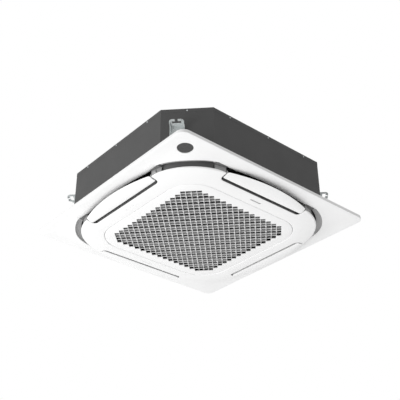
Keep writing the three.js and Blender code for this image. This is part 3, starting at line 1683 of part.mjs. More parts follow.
cassette.add(pipe('gas_pipe', gasPipeRadius, gasStart, gasPipeHeight));
cassette.add(pipe('liquid_pipe', liquidPipeRadius, liquidStart, liquidPipeHeight));
cassette.add(flareNut('gas_flare_nut', gasPipeRadius, gasPipeHeight));
cassette.add(flareNut('liquid_flare_nut', liquidPipeRadius, liquidPipeHeight));
cassette.add(pipePlate(), bellMouth(), turboFan(), fanShroud(), motorShaft());
cassette.add(fanMotor(), motorMount());
cassette.add(controlBox(), controlBoxCover(), circuitBoard(), terminalBlock());
cassette.add(drainPump(), pumpFloat(), drainHose(), drainSpout(), freshAirCover());

export default cassette;
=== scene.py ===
import json
import math

import bmesh
import bpy
import numpy
from mathutils import Matrix, Vector
from mathutils.geometry import delaunay_2d_cdt, tessellate_polygon

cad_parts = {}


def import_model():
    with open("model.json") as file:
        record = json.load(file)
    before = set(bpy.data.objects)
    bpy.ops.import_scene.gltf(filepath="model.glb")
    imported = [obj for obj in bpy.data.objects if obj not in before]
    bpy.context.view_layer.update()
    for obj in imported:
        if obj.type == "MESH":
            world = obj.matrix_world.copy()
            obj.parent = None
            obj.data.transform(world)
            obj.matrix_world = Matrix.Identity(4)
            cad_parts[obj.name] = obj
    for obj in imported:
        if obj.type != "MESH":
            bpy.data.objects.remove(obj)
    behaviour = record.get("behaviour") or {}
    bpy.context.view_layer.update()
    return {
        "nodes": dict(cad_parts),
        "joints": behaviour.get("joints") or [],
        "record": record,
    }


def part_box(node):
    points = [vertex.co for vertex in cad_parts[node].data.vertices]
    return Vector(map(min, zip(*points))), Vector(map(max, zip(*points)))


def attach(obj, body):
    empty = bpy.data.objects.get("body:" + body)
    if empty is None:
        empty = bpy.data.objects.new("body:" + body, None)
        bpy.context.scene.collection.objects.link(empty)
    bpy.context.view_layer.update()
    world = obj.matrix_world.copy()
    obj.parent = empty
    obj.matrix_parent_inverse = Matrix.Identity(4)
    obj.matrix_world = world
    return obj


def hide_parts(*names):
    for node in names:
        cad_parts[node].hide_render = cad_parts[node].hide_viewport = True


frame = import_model()

# Ceiling cassette air conditioner. Sizes are in millimetres, and one factor turns them into metres.
# The origin is the middle of the ceiling's lower face, +Z up.
METRES = 0.001
QUARTER = math.pi / 2
EIGHTH = math.pi / 4
SIDES = (0, 1, 2, 3)
HANDS = (-1, 1)
X, Y, Z = 0, 1, 2


# The frame's places, to a tenth of a millimetre

def lowest(node, axis):
    return round(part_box(node)[0][axis] / METRES, 1)


def highest(node, axis):
    return round(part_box(node)[1][axis] / METRES, 1)


def joint_place(name, axis):
    joint = next(joint for joint in frame["joints"] if joint["name"] == name)
    return round(joint["pos_m"][axis] / METRES, 1)


# Camera, as the photograph's perspective gives it: where it stands and how it looks
camera_azimuth = math.radians(49.18)
camera_elevation = math.radians(-31.08)
camera_roll = math.radians(-0.42)
camera_distance = 3181.9
camera_slide = 7.9
camera_lift = 110.1
camera_drop = 12.7
focal_pixels = 779.0
picture_pixels = 400

# Stage and lamps
floor_drop = 3800
floor_half = 9000
world_light = 0.52
lamps = {
    "key": ((-1300, -3900, -2300), 2600, 126.0),
    "from_below": ((0, 0, -3000), 2500, 20.0),
    "from_above": ((0, 0, 6000), 3000, 120.0),
}

# Points closer than the weld are one, and edges that turn by more degrees than the usual are sharp
weld = 0.002
fill_tolerance = 1e-4
small_chamfer = 0.5
usual_sharp = 32

# Panel plate and lip
panel_half = highest("panel_frame", X)
panel_corner = 32
panel_depth = -lowest("panel_frame", Z)
panel_skin = 3
panel_edge = 1.4
rim_crown = 0.6
plate_drop = 10
plate_drop_reach = 87
plate_drop_power = 2.5
plate_drop_norm = 8
plate_spacing = 14
lip_half = 440
lip_corner = 220
lip_bow = 1230
lip_width = 35
lip_height = 17
lip_change_turns = (0.13, 0.26)
ledge_width = 24
ledge_rise = 13
lip_steps = 10
ledge_shade_sheet = 0.5
bridge_inner = 207
bridge_end = 253
bolt_lateral = 230
bolt_from_middle = 371.6
bolt_bore = 7.5
ribs_each_way = 2
rib_spacing = 150
rib_width = 2
rib_height = 7
rib_chamfer = 0.4

# Intake grille, flush with the lowest edge of the core
face_drop = -lowest("intake_grille", Z)
grille_half = highest("intake_grille", X)
grille_corner = 123.5
grille_gap = 1.5
grille_skin = 3.15
grille_rim = 9.65
grille_rim_wall = 2.5
cell = 21.16
cell_columns = 32
cells_in_first = 4
hole_margin = 3.8
column_width = 1.9
column_depth = 2.7
column_shoulder_share = 1 / 4
pad_width = 5.5
pad_length = 8
nose_width = 2.1
nose_depth = 1.8
slat_base = 4.4
slat_depth = 11
slat_lean = 9
slat_thickness = 1.6
slat_bend_power = 1.15
slat_steps = 4
lattice_sharp = 25
rib_depth = 3.4
clip_inner = 275.3
clip_half = 8
clip_thickness = 2
clip_top = -29
clip_chamfer = 0.4
catch_reach = (296.5, 301.5)
catch_half = 10
catch_top = -37.2

# Domed core
opening_half = grille_half + grille_gap
opening_corner = grille_corner + grille_gap
lobe_centre = opening_half - opening_corner
core_reach = 95
core_skin = 3
skin_bulge_share = 1 / 6
lobe_round = 6.5
lobe_round_fade = 30
dome_radius = 403
seam_round = 2.5
seam_flange = 14
hinge_relief = 2.6
hinge_relief_place = 228
hinge_relief_reach = 16
duct_half = 362
lobe_corner = 4
seal_recess = 8
end_recess = 1.5
seal_thickness = 4
seal_steps = 12
pocket_half = 206
pocket_fillet = 15
pocket_wall = 2.5
pin_hole = 4.4
notch_from_middle = 338
notch_half = 27.5
notch_width = 4.5
notch_depth = 1.2
latch_side = 1
latch_notch_reach = (331.9, 340.1)
dome_spacing = 9

# Sensor window
sensor_from_middle = (lowest("sensor_window", X) + highest("sensor_window", X)) / 2
sensor_steps = 64
sensor_gap = 0.3
sensor_radius = 28.5
sensor_flange = 3.5
sensor_thickness = 2
sensor_crown = 1.1
sensor_dome_share = 0.5
sensor_dome_steps = 6
sensor_groove = 0.8
sensor_edge = 1.2

# Vanes
vane_gap = 3.8
vane_half = pocket_half - vane_gap
vane_inner = 375
vane_outer = -lowest("vane_1", Y)
vane_bow = 680.2
vane_inner_drop = -lowest("vane_1", Z)
vane_outer_drop = 35
vane_crown = 1.6
vane_edge = 1.7
vane_edge_share = 0.15
vane_swell_power = 0.35
vane_body = 1.5
vane_flange = 4
vane_corner = 7
vane_corner_share = 0.6
vane_end_steps = 6
vane_steps = 24
vane_pivot = -joint_place("vane_1_swing", Y)
vane_pivot_drop = -joint_place("vane_1_swing", Z)
vane_pin = 2
vane_pin_reach = (lowest("vane_1", X), highest("vane_1", X))
vane_ear = 2.5
vane_ear_foot = 11
vane_ear_head = 5

# Casing top and its screws
casing_half = highest("casing_shell", X)
casing_cut = 138
casing_chamfer = (2 * casing_half - casing_cut) / math.sqrt(2)
casing_top = highest("casing_top", Z)
top_sheet = 1.2
skirt_gap = 0.05
skirt_step = 0.35
skirt_height = 16
screw_round = 2.4
screw_head = 2
screw_flange = 0.6
screw_edge = 0.5
bolt_scale = 1.7
screw_steps = 24
screw_sides = 6
screw_below_top = 9
screw_from_end = 82

# Hanger brackets
bracket_slide = 35.36
bracket_half = 27
bracket_seat = 0.3
bracket_sheet = 2.5
bracket_top = highest("hanger_bracket_1", Z)
bracket_foot = lowest("hanger_bracket_1", Z)
bracket_reach = 45
bracket_corner = 13
back_chamfer = 2
slot_out = 28
slot_half = 17
slot_width = 14
mouth_half = 5.5
hook_lip = 4
hook_half = 5.5
hook_chamfer = 0.6
flange_reach = 11
flange_rim = 4
boss_foot = 11
boss_rise = 2
bracket_screw_half = 15
bracket_screw_rises = (12, 46)

# Finishes: where a noise turns from its low to its high tone, and depths and spacings
middle_shares = (0.3, 0.7)
spangle_shares = (0.1, 0.9)
bead_shares = (0.2, 0.8)
fin_shares = (0.1, 0.7)
smooth_grain = 0.01
fine_grain = 0.02
coarse_grain = 0.03
board_relief = 0.05
mesh_relief = 0.3
fin_relief = 0.6
bead_relief = 0.25
dark_bead = 1.6
white_bead = 3
fin_pitch = 1.8
mesh_pitch = 1.4


# Outlines seen from above: points with their outward directions, running anticlockwise

def arc(centre_x, centre_y, radius, start, end, steps, facing=1):
    stations = []
    for step in range(steps + 1):
        angle = start + (end - start) * step / steps
        across, along = math.cos(angle), math.sin(angle)
        place = (centre_x + radius * across, centre_y + radius * along)
        stations.append((*place, facing * across, facing * along))
    return stations


def straight(start, end, outward, spacing):
    steps = max(2, round(math.dist(start, end) / spacing))
    stations = []
    for step in range(1, steps):
        share = step / steps
        place = [a + (b - a) * share for a, b in zip(start, end)]
        stations.append((*place, *outward))
    return stations


def spun(stations, side):
    turn = Matrix.Rotation(side * QUARTER, 2)
    return [(*(turn @ Vector(at[:2])), *(turn @ Vector(at[2:]))) for at in stations]


def rounded_square(half, corner, steps=12, spacing=40):
    stations = []
    for side in SIDES:
        centre = half - corner
        one = straight((-centre, -half), (centre, -half), (0, -1), spacing)
        one += arc(centre, -centre, corner, -QUARTER, 0, steps)
        stations += spun(one, side)
    return stations


def lip_line(side_steps=28, corner_steps=20):
    """The foot of the panel's lip: a square with bowed sides that run smoothly into its corners."""
    inward = lip_bow - lip_half
    centre = (math.sqrt(2 * (lip_bow - lip_corner) ** 2 - inward ** 2) - inward) / 2
    swing = math.atan2(centre, centre + inward)
    stations = []
    for side in SIDES:
        one = arc(0, inward, lip_bow, -QUARTER - swing, swing - QUARTER, side_steps)
        one += arc(centre, -centre, lip_corner, swing - QUARTER, -swing, corner_steps)[1:-1]
        stations += spun(one, side)
    return stations


def casing_outline(out):
    """A square with its corners cut off, every face moved out by the same distance."""
    start, edge = casing_half - casing_cut - (1 - math.sqrt(2)) * out, -casing_half - out
    corners = []
    for side in SIDES:
        corners += spun([(-start, edge, 0, -1), (start, edge, 0, -1)], side)
    return plan(corners)


def plan(stations, out=0):
    return [(x + across * out, y + along * out) for x, y, across, along in stations]


def round_stations(x, y, radius, steps):
    return arc(x, y, radius, 0, 2 * math.pi * (steps - 1) / steps, steps - 1)


def circle(x, y, radius, steps=32):
    return plan(round_stations(x, y, radius, steps))


# Meshes: points in millimetres and faces, gathered into one shell

class Shell:
    def __init__(self):
        self.points = []
        self.faces = []

    def add(self, points, faces):
        start = len(self.points)
        self.points += [tuple(point) for point in points]
        self.faces += [tuple(start + corner for corner in face) for face in faces]

    def loft(self, rings, around=True, across=False):
        """Faces between rows of points: around joins the last row to the first, across closes each."""
        count = len(rings[0])
        faces = []
        for ring in range(len(rings) if around else len(rings) - 1):
            here, there = ring * count, (ring + 1) % len(rings) * count
            for point in range(count if across else count - 1):
                after = (point + 1) % count
                faces.append((here + point, there + point, there + after, here + after))
        self.add([point for ring in rings for point in ring], faces)

    def tube(self, rings):
        """Closed rings in a row, with a face on the first and on the last."""
        self.loft(rings, False, True)
        for ring in (rings[0], rings[-1]):
            self.add(ring, [tuple(range(len(ring)))])

    def sweep(self, stations, profile_at):
        """A profile of (out, height) points led round a closed row of stations."""
        rings = []
        for x, y, across, along in stations:
            profile = profile_at((x, y, across, along)) if callable(profile_at) else profile_at
            rings.append([(x + across * out, y + along * out, height) for out, height in profile])
        self.loft(rings)

    def sheet(self, loops, height):
        triangles = tessellate_polygon([[Vector((x, y, 0)) for x, y in loop] for loop in loops])
        self.add([(x, y, height) for loop in loops for x, y in loop], triangles)

    def slab(self, loops, low, high):
        self.sheet(loops, low)
        self.sheet(loops, high)
        for loop in loops:
            self.loft([[(x, y, low), (x, y, high)] for x, y in loop])

    def block(self, x, y, z, chamfer):
        (x0, x1), (y0, y1) = sorted(x), sorted(y)
        self.slab([[
            (x0 + chamfer, y0), (x1 - chamfer, y0), (x1, y0 + chamfer), (x1, y1 - chamfer),
            (x1 - chamfer, y1), (x0 + chamfer, y1), (x0, y1 - chamfer), (x0, y0 + chamfer),
        ]], *z)

    def bar(self, section, start, end):
        """A closed bar along X, its section given as (y, z) points."""
        self.tube([[(x, y, z) for y, z in section] for x in (start, end)])

    def changed(self, change):
        other = Shell()
        other.add([change(*point) for point in self.points], self.faces)
        return other

    def turned(self, angle):
        turn = Matrix.Rotation(angle, 3, "Z")
        return self.changed(lambda x, y, z: turn @ Vector((x, y, z)))

    def join(self, other):
        self.add(other.points, other.faces)

    def on_sides(self):
        whole = Shell()
        for side in SIDES:
            whole.join(self.turned(side * QUARTER))
        return whole

    def piece(self, name, material, slot="white_plastic", body="casing", nodes=(), sharp=usual_sharp):
        """The finished mesh, riding on a CAD body and standing for the CAD nodes named."""
        mesh = bpy.data.meshes.new(name)
        mesh.from_pydata([Vector(point) * METRES for point in self.points], [], self.faces)
        work = bmesh.new()
        work.from_mesh(mesh)
        bmesh.ops.remove_doubles(work, verts=work.verts, dist=weld * METRES)
        bmesh.ops.dissolve_degenerate(work, edges=work.edges, dist=weld * METRES)
        bmesh.ops.recalc_face_normals(work, faces=work.faces)
        work.to_mesh(mesh)
        work.free()
        mesh.shade_smooth()
        mesh.set_sharp_from_angle(angle=math.radians(sharp))
        mesh.materials.append(material)
        made = bpy.data.objects.new(name, mesh)
        bpy.context.scene.collection.objects.link(made)
        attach(made, body)
        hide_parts(*nodes)


def quarter_round(radius, steps=4):
    """From flat underneath to upright: how far out and how high, as pairs."""
    turns = [QUARTER * step / steps for step in range(steps + 1)]
    return [(radius * math.sin(turn), radius * (1 - math.cos(turn))) for turn in turns]


# Panel plate with its rim, rolled lip, bridges and ribs

def plate_height(x, y):
    """The plate's underside: level at the rim, then dropping towards the opening's corners."""
    near = (abs(x) ** plate_drop_norm + abs(y) ** plate_drop_norm) ** (1 / plate_drop_norm)
    inward = max(0, panel_half - near)
    return -panel_depth - plate_drop * (inward / plate_drop_reach) ** plate_drop_power


def corner_share(station):
    """How much of a corner a place of the lip is: nothing at a side's middle, all at a corner's."""
    turn = math.acos(min(1, max(abs(station[2]), abs(station[3]))))
    start, end = lip_change_turns
    share = min(1, max(0, (turn - start) / (end - start)))
    return share ** 2 * (3 - 2 * share)


def roll_line(start):
    rise = lip_height - panel_depth - start
    return [(-lip_width * out, start + rise * up) for out, up in quarter_round(1, lip_steps)]


def ledge_line(start):
    return [(-ledge_width * up, start + ledge_rise * out) for out, up in quarter_round(1, lip_steps)]


def lip_profile(station):
    """On the sides a roll that turns up, at the corners a wall with a ledge behind it."""
    corner = corner_share(station)
    start = plate_height(*station[:2])
    outer = []
    for roll, ledge in zip(roll_line(start), ledge_line(start)):
        outer.append([a + (b - a) * corner for a, b in zip(roll, ledge)])
    return [*outer, *reversed(thickened(outer, panel_skin))]


def thickened(line, skin):
    """The line moved by the skin's thickness, to the left of the way that it runs."""
    moved = []
    for index, (out, height) in enumerate(line):
        before, after = line[max(0, index - 1)], line[min(len(line) - 1, index + 1)]
        way = Vector((after[0] - before[0], after[1] - before[1])).normalized()
        moved.append((out + skin * way.y, height - skin * way.x))
    return moved


def rim_profile():
    edge = [(out - panel_edge, rise - panel_depth) for out, rise in quarter_round(panel_edge)]
    return [
        *edge, (0, -rim_crown), (-rim_crown, 0), (rim_crown - panel_skin, 0),
        (-panel_skin, -rim_crown), (-panel_skin, panel_skin - panel_depth),
    ]


def panel_plate(finish):
    outline = rounded_square(panel_half, panel_corner)
    lip = lip_line()
    window = circle(sensor_from_middle, -sensor_from_middle, sensor_radius + sensor_groove, sensor_steps)
    top = panel_skin - panel_depth
    shell = Shell()
    shell.sweep(outline, rim_profile())
    shell.sweep(lip, lip_profile)
    rings = [
        rounded_square(panel_half - inset, panel_corner + inset, 16, plate_spacing)
        for inset in range(plate_spacing, round(panel_half - opening_half), plate_spacing)
    ]
    for lift, edge in ((0, panel_edge), (panel_skin, panel_skin)):
        places, faces = filled(plan(outline, -edge), [plan(lip), window], rings, plate_spacing)
        shell.add([(x, y, plate_height(x, y) + lift) for x, y in places], faces)
    shell.loft([[(x, y, plate_height(x, y) + lift) for lift in (0, panel_skin)] for x, y in window])
    side = Shell()
    for place in range(-ribs_each_way, ribs_each_way + 1):
        middle = place * rib_spacing
        width = (middle - rib_width / 2, middle + rib_width / 2)
        length = (-panel_half + panel_skin, -lip_half - rib_width)
        side.block(width, length, (top, top + rib_height), rib_chamfer)
    shell.join(side.on_sides())
    shell.piece("panel_plate", finish, nodes=["panel_frame"])


def corner_ledge_shade(finish):
    """A thin grey sheet on the ledges, between the panel's lip and the core's lobes: painted shade on the
    ledges' white plastic.
    """
    rings = []
    for station in lip_line():
        x, y, across, along = station
        if across > 0 > along and corner_share(station) == 1:
            line = ledge_line(plate_height(x, y))[1:]
            strip = [*thickened(line, -ledge_shade_sheet), *reversed(thickened(line, -weld))]
            rings.append([(x + across * out, y + along * out, height) for out, height in strip])
    corner = Shell()
    corner.tube(rings)
    corner.on_sides().piece("corner_ledge_shade", finish)


def panel_bridges(finish):
    """From the lip to the duct beside each pocket, one of every pair bored for the panel's bolt."""
    side = Shell()
    near, far = -lip_half + lip_width - panel_skin, -duct_half - seam_round
    for hand in HANDS:
        holes = [circle(-bolt_lateral, -bolt_from_middle, bolt_bore)] if hand < 0 else []
        low, high = sorted((hand * bridge_inner, hand * bridge_end))
        side.slab([[(low, near), (high, near), (high, far), (low, far)], *holes], -panel_depth, 0)
    # The finish passed in is a painted shade grey: the bridges are white plastic darkened to the shade in the
    # slots
    side.on_sides().piece("panel_bridges", finish)


# Domed core with its pockets

def dome_height(out):
    """The core's underside, by the distance out of the grille's opening."""
    return out ** 2 / dome_radius / 2 - face_drop


def out_of_opening(x, y):
    """How far a place lies outside the grille's opening; less than nothing inside it."""
    across, along = abs(x) - lobe_centre, abs(y) - lobe_centre
    corner = math.hypot(max(across, 0), max(along, 0))
    return corner + min(max(across, along), 0) - opening_corner


def core_height(x, y):
    return dome_height(out_of_opening(x, y))


def hinge_relieved(station):
    """The opening's edge, moved back at the two places where the grille's corners swing past it."""
    x, y, across, along = station
    share = (abs(y) - hinge_relief_place) / hinge_relief_reach
    if x > 0 or abs(x) < abs(y) or abs(share) >= 1:
        return station
    room = hinge_relief * (1 - share ** 2) ** 2
    return x + across * room, y + along * room, across, along


def core_boundary():
    """The core's outer edge: round the lobes and into the pockets."""
    radius = opening_corner + core_reach
    tip_x = pocket_half + lobe_corner
    drop = math.sqrt((radius - lobe_corner) ** 2 - (tip_x - lobe_centre) ** 2)
    tip_y = -lobe_centre - drop
    turn = math.atan2(-drop, tip_x - lobe_centre)
    end = -duct_half - pocket_fillet
    inner = pocket_half - pocket_fillet
    one = arc(-inner, end, pocket_fillet, 2 * QUARTER, QUARTER, 8, -1)
    one += straight((-inner, -duct_half), (inner, -duct_half), (0, -1), dome_spacing)
    one += arc(inner, end, pocket_fillet, QUARTER, 0, 8, -1)
    one += straight((pocket_half, end), (pocket_half, tip_y), (-1, 0), dome_spacing)
    one += arc(tip_x, tip_y, lobe_corner, -2 * QUARTER, turn, 6)
    one += arc(lobe_centre, -lobe_centre, radius, turn, -QUARTER - turn, 40)[1:-1]
    one += arc(-tip_y, -tip_x, lobe_corner, -QUARTER - turn, QUARTER, 6)
    one += straight((-tip_y, -pocket_half), (-end, -pocket_half), (0, 1), dome_spacing)
    return [station for side in SIDES for station in spun(one, side)]


def notch_loop(side):
    """The thumb notch of a side, a slot with round ends; the one at the latch is wider."""
    near, far = notch_from_middle - notch_width / 2, notch_from_middle + notch_width / 2
    if side == latch_side:
        near, far = latch_notch_reach
    radius = (far - near) / 2
    end = notch_half - radius
    middle = -(near + far) / 2
    loop = arc(-end, middle, radius, QUARTER, 3 * QUARTER, 6, -1)
    loop += straight((-end, -far), (end, -far), (0, 1), dome_spacing)
    loop += arc(end, middle, radius, -QUARTER, QUARTER, 6, -1)
    loop += straight((end, -near), (-end, -near), (0, -1), dome_spacing)
    return spun(loop, side)


def inside(loop, places):
    """Which places lie inside a closed loop, by counting the edges that a ray crosses."""
    ring = numpy.array(loop)
    ahead = numpy.roll(ring, -1, axis=0)
    x, y = places[:, 0:1], places[:, 1:2]
    spans = (ring[:, 1] > y) != (ahead[:, 1] > y)
    rise = numpy.where(ahead[:, 1] == ring[:, 1], 1, ahead[:, 1] - ring[:, 1])
    crossing = ring[:, 0] + (y - ring[:, 1]) * (ahead[:, 0] - ring[:, 0]) / rise
    return (spans & (x < crossing)).sum(axis=1) % 2 == 1


def between(outer, holes, places):
    """Which places lie inside the outline and outside every hole."""
    kept = inside(outer, places)
    for hole in holes:
        kept &= ~inside(hole, places)
    return kept


def filled(outer, holes, rings, spacing):
    """Triangles between an outline and holes, by way of the places of some rings in between."""
    loops = [outer, *holes]
    points = [Vector(place) for loop in loops for place in loop]
    edges = []
    for loop in loops:
        first = len(edges)
        edges += [(first + step, first + (step + 1) % len(loop)) for step in range(len(loop))]
    edge_cloud = numpy.array([tuple(point) for point in points])
    for stations in rings:
        ring = numpy.array(plan(stations))
        for place in ring[between(outer, holes, ring)]:
            if ((edge_cloud - place) ** 2).sum(axis=1).min() > (spacing / 2) ** 2:
                points.append(Vector(place))
    places, _, faces, *_ = delaunay_2d_cdt(points, edges, [], 0, fill_tolerance)
    middles = numpy.array([sum((places[corner] for corner in face), Vector((0, 0))) / 3 for face in faces])
    kept = between(outer, holes, middles)
    return places, [face for face, keep in zip(faces, kept) if keep]


def edge_radius(x, y):
    """The lobes' lower edge is rounder than the pockets'; the one runs into the other."""
    share = (min(abs(x), abs(y)) - pocket_half - lobe_corner) / lobe_round_fade
    return core_skin + (lobe_round - core_skin) * min(1, max(0, share))


def boundary_profile(station):
    """Rounded lower edge and the skin's thickness."""
    x, y, across, along = station
    radius = edge_radius(x, y)
    base = core_height(x - across * radius, y - along * radius)
    edge = [(out - radius, base + rise) for out, rise in quarter_round(radius, 6)]
    bulge = (-core_skin / 2, base + radius + core_skin * skin_bulge_share)
    return [*edge, bulge, (-core_skin, base + radius), (-radius, base + core_skin)]


def seam_profile():
    edge = [(seam_round - out, rise - face_drop) for out, rise in quarter_round(seam_round)]
    top = seam_flange - face_drop
    return [*edge, (0, top), (seam_round, top), (seam_round, core_skin - face_drop)]


def notch_profile(station, deep):
    height = core_height(*station[:2])
    return [(0, height), (0, height + deep)]


def core(finish):
    boundary = core_boundary()
    square = rounded_square(opening_half, opening_corner, 28, dome_spacing)
    opening = [hinge_relieved(station) for station in square]
    outer = []
    for x, y, across, along in boundary:
        radius = edge_radius(x, y)
        outer.append((x - across * radius, y - along * radius))
    notches = [notch_loop(side) for side in SIDES]
    holes = [plan(opening, seam_round), *[plan(notch) for notch in notches]]
    rings = [
        [(x + across * out, y + along * out, across, along) for x, y, across, along in opening]
        for out in range(dome_spacing, core_reach, dome_spacing)
    ]
    places, faces = filled(outer, holes, rings, dome_spacing)
    heights = [core_height(*place) for place in places]
    shell = Shell()
    for lift in (0, core_skin):
        shell.add([(x, y, height + lift) for (x, y), height in zip(places, heights)], faces)
    shell.sweep(boundary, boundary_profile)
    shell.sweep(opening, seam_profile())
    for side, notch in enumerate(notches):
        through = side == latch_side
        deep = core_skin if through else notch_depth
        shell.sweep(notch, lambda at: notch_profile(at, deep))
        if not through:
            shell.sheet([plan(notch)], dome_height(notch_from_middle - opening_half) + notch_depth)
    shell.piece("core", finish, nodes=["panel_core"])


def seals(name, finish, slot, recess, places):
    """Upright strips behind the lobes' edges, between two places by their distance from the middle."""
    radius = opening_corner + core_reach - recess
    start, end = [math.acos((place - lobe_centre) / radius) for place in places]
    side = Shell()
    for first, last in ((-start, -end), (end - QUARTER, start - QUARTER)):
        rings = []
        for x, y, across, along in arc(lobe_centre, -lobe_centre, radius, first, last, seal_steps):
            low = core_height(x, y) + core_skin
            inner_x, inner_y = x - across * seal_thickness, y - along * seal_thickness
            rings.append([(x, y, low), (x, y, 0), (inner_x, inner_y, 0), (inner_x, inner_y, low)])
        side.tube(rings)
    side.on_sides().piece(name, finish, slot)


def corner_seals(dark, light):
    """The dark seals across the corners, grey as painted shade for the deep slots, and their lighter ends in
    front of the bridges, a lighter painted shade of the bridges' white plastic in the slots.
    """
    middle = lobe_centre + (opening_corner + core_reach - seal_recess) / math.sqrt(2)
    seals("corner_seals", dark, "dark_foam", seal_recess, (bridge_end, middle))
    seals("seal_ends", light, "white_plastic", end_recess, (pocket_half + pocket_wall, bridge_end))


def end_wall():
    """A pocket's end, drawn flat, with a hole for the vane's pin or bush."""
    steps = 8
    depth = duct_half - opening_half - core_reach + core_skin
    lower = []
    for step in range(steps + 1):
        y = -duct_half + depth * step / steps
        lower.append((y, core_height(pocket_half, y) + core_skin / 2))
    outline = [*lower, (lower[-1][0], -panel_depth), (lower[0][0], -panel_depth)]
    hole = circle(-vane_pivot, -vane_pivot_drop, pin_hole)
    wall = Shell()
    wall.slab([outline, hole], pocket_half, pocket_half + pocket_wall)
    return wall


def pocket_walls(finish):
    """At both ends of each pocket, and along its inner side."""
    shell = Shell()
    for hand in HANDS:
        shell.join(end_wall().changed(lambda x, y, z: (hand * z, x, y)))
    length = pocket_half - pocket_fillet
    low = dome_height(duct_half - opening_half) + core_skin / 2
    thickness = (-duct_half, pocket_wall - duct_half)
    shell.block((-length, length), thickness, (low, -panel_depth), small_chamfer)
    # The finish passed in is a painted shade grey: these walls are the core's white plastic darkened to the
    # shade inside the pockets
    shell.on_sides().piece("pocket_end_walls", finish)


# Materials

def new_material(name, roughness, metallic=0.0):
    material = bpy.data.materials.new(name)
    material.use_nodes = True
    shader = material.node_tree.nodes["Principled BSDF"]
    shader.inputs["Roughness"].default_value = roughness
    shader.inputs["Metallic"].default_value = metallic
    return material, material.node_tree, shader


def rgb(grey_or_colour):
    colour = grey_or_colour if isinstance(grey_or_colour, tuple) else (grey_or_colour,) * 3
    return (*[channel_to_linear(value) for value in colour], 1.0)


def channel_to_linear(value):
    if value <= 0.04045:
        return value / 12.92
    return ((value + 0.055) / 1.055) ** 2.4


def pattern(tree, kind, scale):
    node = tree.nodes.new(f"ShaderNodeTex{kind}")
    node.inputs["Scale"].default_value = scale
    places = tree.nodes.new("ShaderNodeTexCoord")
    tree.links.new(places.outputs["Object"], node.inputs["Vector"])
    return node


def noise(tree, per_metre, detail=2.0):
    node = pattern(tree, "Noise", per_metre)
    node.inputs["Detail"].default_value = detail
    return node.outputs["Fac"]


def cells(tree, per_metre, output="Color"):
    return pattern(tree, "Voronoi", per_metre).outputs[output]


def stripes(tree, pitch, axis):
    node = pattern(tree, "Wave", math.pi / (10 * pitch * METRES))
    node.bands_direction = axis
    return node.outputs["Fac"]


def calculated(tree, operation, *values):
    node = tree.nodes.new("ShaderNodeMath")
    node.operation = operation
    for value, entry in zip(values, node.inputs):
        tree.links.new(value, entry)
    return node.outputs["Value"]


def ramp(tree, factor, low, high, shares=middle_shares):
    node = tree.nodes.new("ShaderNodeValToRGB")
    for stop, place, colour in zip(node.color_ramp.elements, shares, (low, high)):
        stop.position = place
        stop.color = rgb(colour)
    tree.links.new(factor, node.inputs["Fac"])
    return node.outputs["Color"]


def tint(tree, shader, colour):
    tree.links.new(colour, shader.inputs["Base Color"])


def roughen(tree, shader, per_metre, low, high):
    node = tree.nodes.new("ShaderNodeMapRange")
    for entry, value in zip(("From Min", "From Max", "To Min", "To Max"), (*middle_shares, low, high)):
        node.inputs[entry].default_value = value
    tree.links.new(noise(tree, per_metre), node.inputs["Value"])
    tree.links.new(node.outputs["Result"], shader.inputs["Roughness"])


def bump(tree, shader, height, depth):
    node = tree.nodes.new("ShaderNodeBump")
    node.inputs["Strength"].default_value = 1.0
    node.inputs["Distance"].default_value = depth * METRES
    tree.links.new(height, node.inputs["Height"])
    tree.links.new(node.outputs["Normal"], shader.inputs["Normal"])


def moulded(name, colour_low, colour_high, rough_low, rough_high, texture=fine_grain):
    material, tree, shader = new_material(name, rough_low)
    broad = noise(tree, 9.0, 3.0)
    tint(tree, shader, ramp(tree, broad, colour_low, colour_high))
    roughen(tree, shader, 30.0, rough_low, rough_high)
    bump(tree, shader, noise(tree, 1400.0), texture)
    return material


def coated_sheet():
    material, tree, shader = new_material("coated_sheet", 0.6)
    shader.inputs["Specular IOR Level"].default_value = 0.12
    tint(tree, shader, ramp(tree, noise(tree, 900.0, 3.0), 0.335, 0.36))
    roughen(tree, shader, 12.0, 0.55, 0.66)
    bump(tree, shader, noise(tree, 700.0), fine_grain)
    return material


def zinc():
    material, tree, shader = new_material("zinc", 0.45, 0.05)
    tone = ramp(tree, cells(tree, 260.0), (0.77, 0.79, 0.79), (0.83, 0.85, 0.85), spangle_shares)
    tint(tree, shader, tone)
    roughen(tree, shader, 60.0, 0.32, 0.46)
    bump(tree, shader, noise(tree, 500.0), coarse_grain)
    return material


def drawn_metal(name, low, high):
    material, tree, shader = new_material(name, 0.3, 1.0)
    tint(tree, shader, ramp(tree, noise(tree, 25.0, 4.0), low, high))
    roughen(tree, shader, 90.0, 0.22, 0.42)
    bump(tree, shader, noise(tree, 700.0), fine_grain)
    return material


def soft_foam(name, low, high, bead):
    material, tree, shader = new_material(name, 0.92)
    distance = cells(tree, 1 / (bead * METRES), "Distance")
    tint(tree, shader, ramp(tree, distance, low, high, bead_shares))
    bump(tree, shader, distance, bead_relief)
    return material


def faces_along(tree, axis):
    geometry = tree.nodes.new("ShaderNodeNewGeometry")
    split = tree.nodes.new("ShaderNodeSeparateXYZ")
    tree.links.new(geometry.outputs["True Normal"], split.inputs["Vector"])
    return calculated(tree, "ABSOLUTE", split.outputs[axis])


def mixed(tree, factor, first, second):
    node = tree.nodes.new("ShaderNodeMix")
    tree.links.new(factor, node.inputs["Factor"])
    tree.links.new(first, node.inputs["A"])
    tree.links.new(second, node.inputs["B"])
    return node.outputs["Result"]


def fins():
    material, tree, shader = new_material("fins", 0.38, 0.9)
    across, along = [stripes(tree, fin_pitch, axis) for axis in "XY"]
    lines = mixed(tree, faces_along(tree, "X"), across, along)
    tint(tree, shader, ramp(tree, lines, 0.42, 0.86, fin_shares))
    bump(tree, shader, lines, fin_relief)
    return material


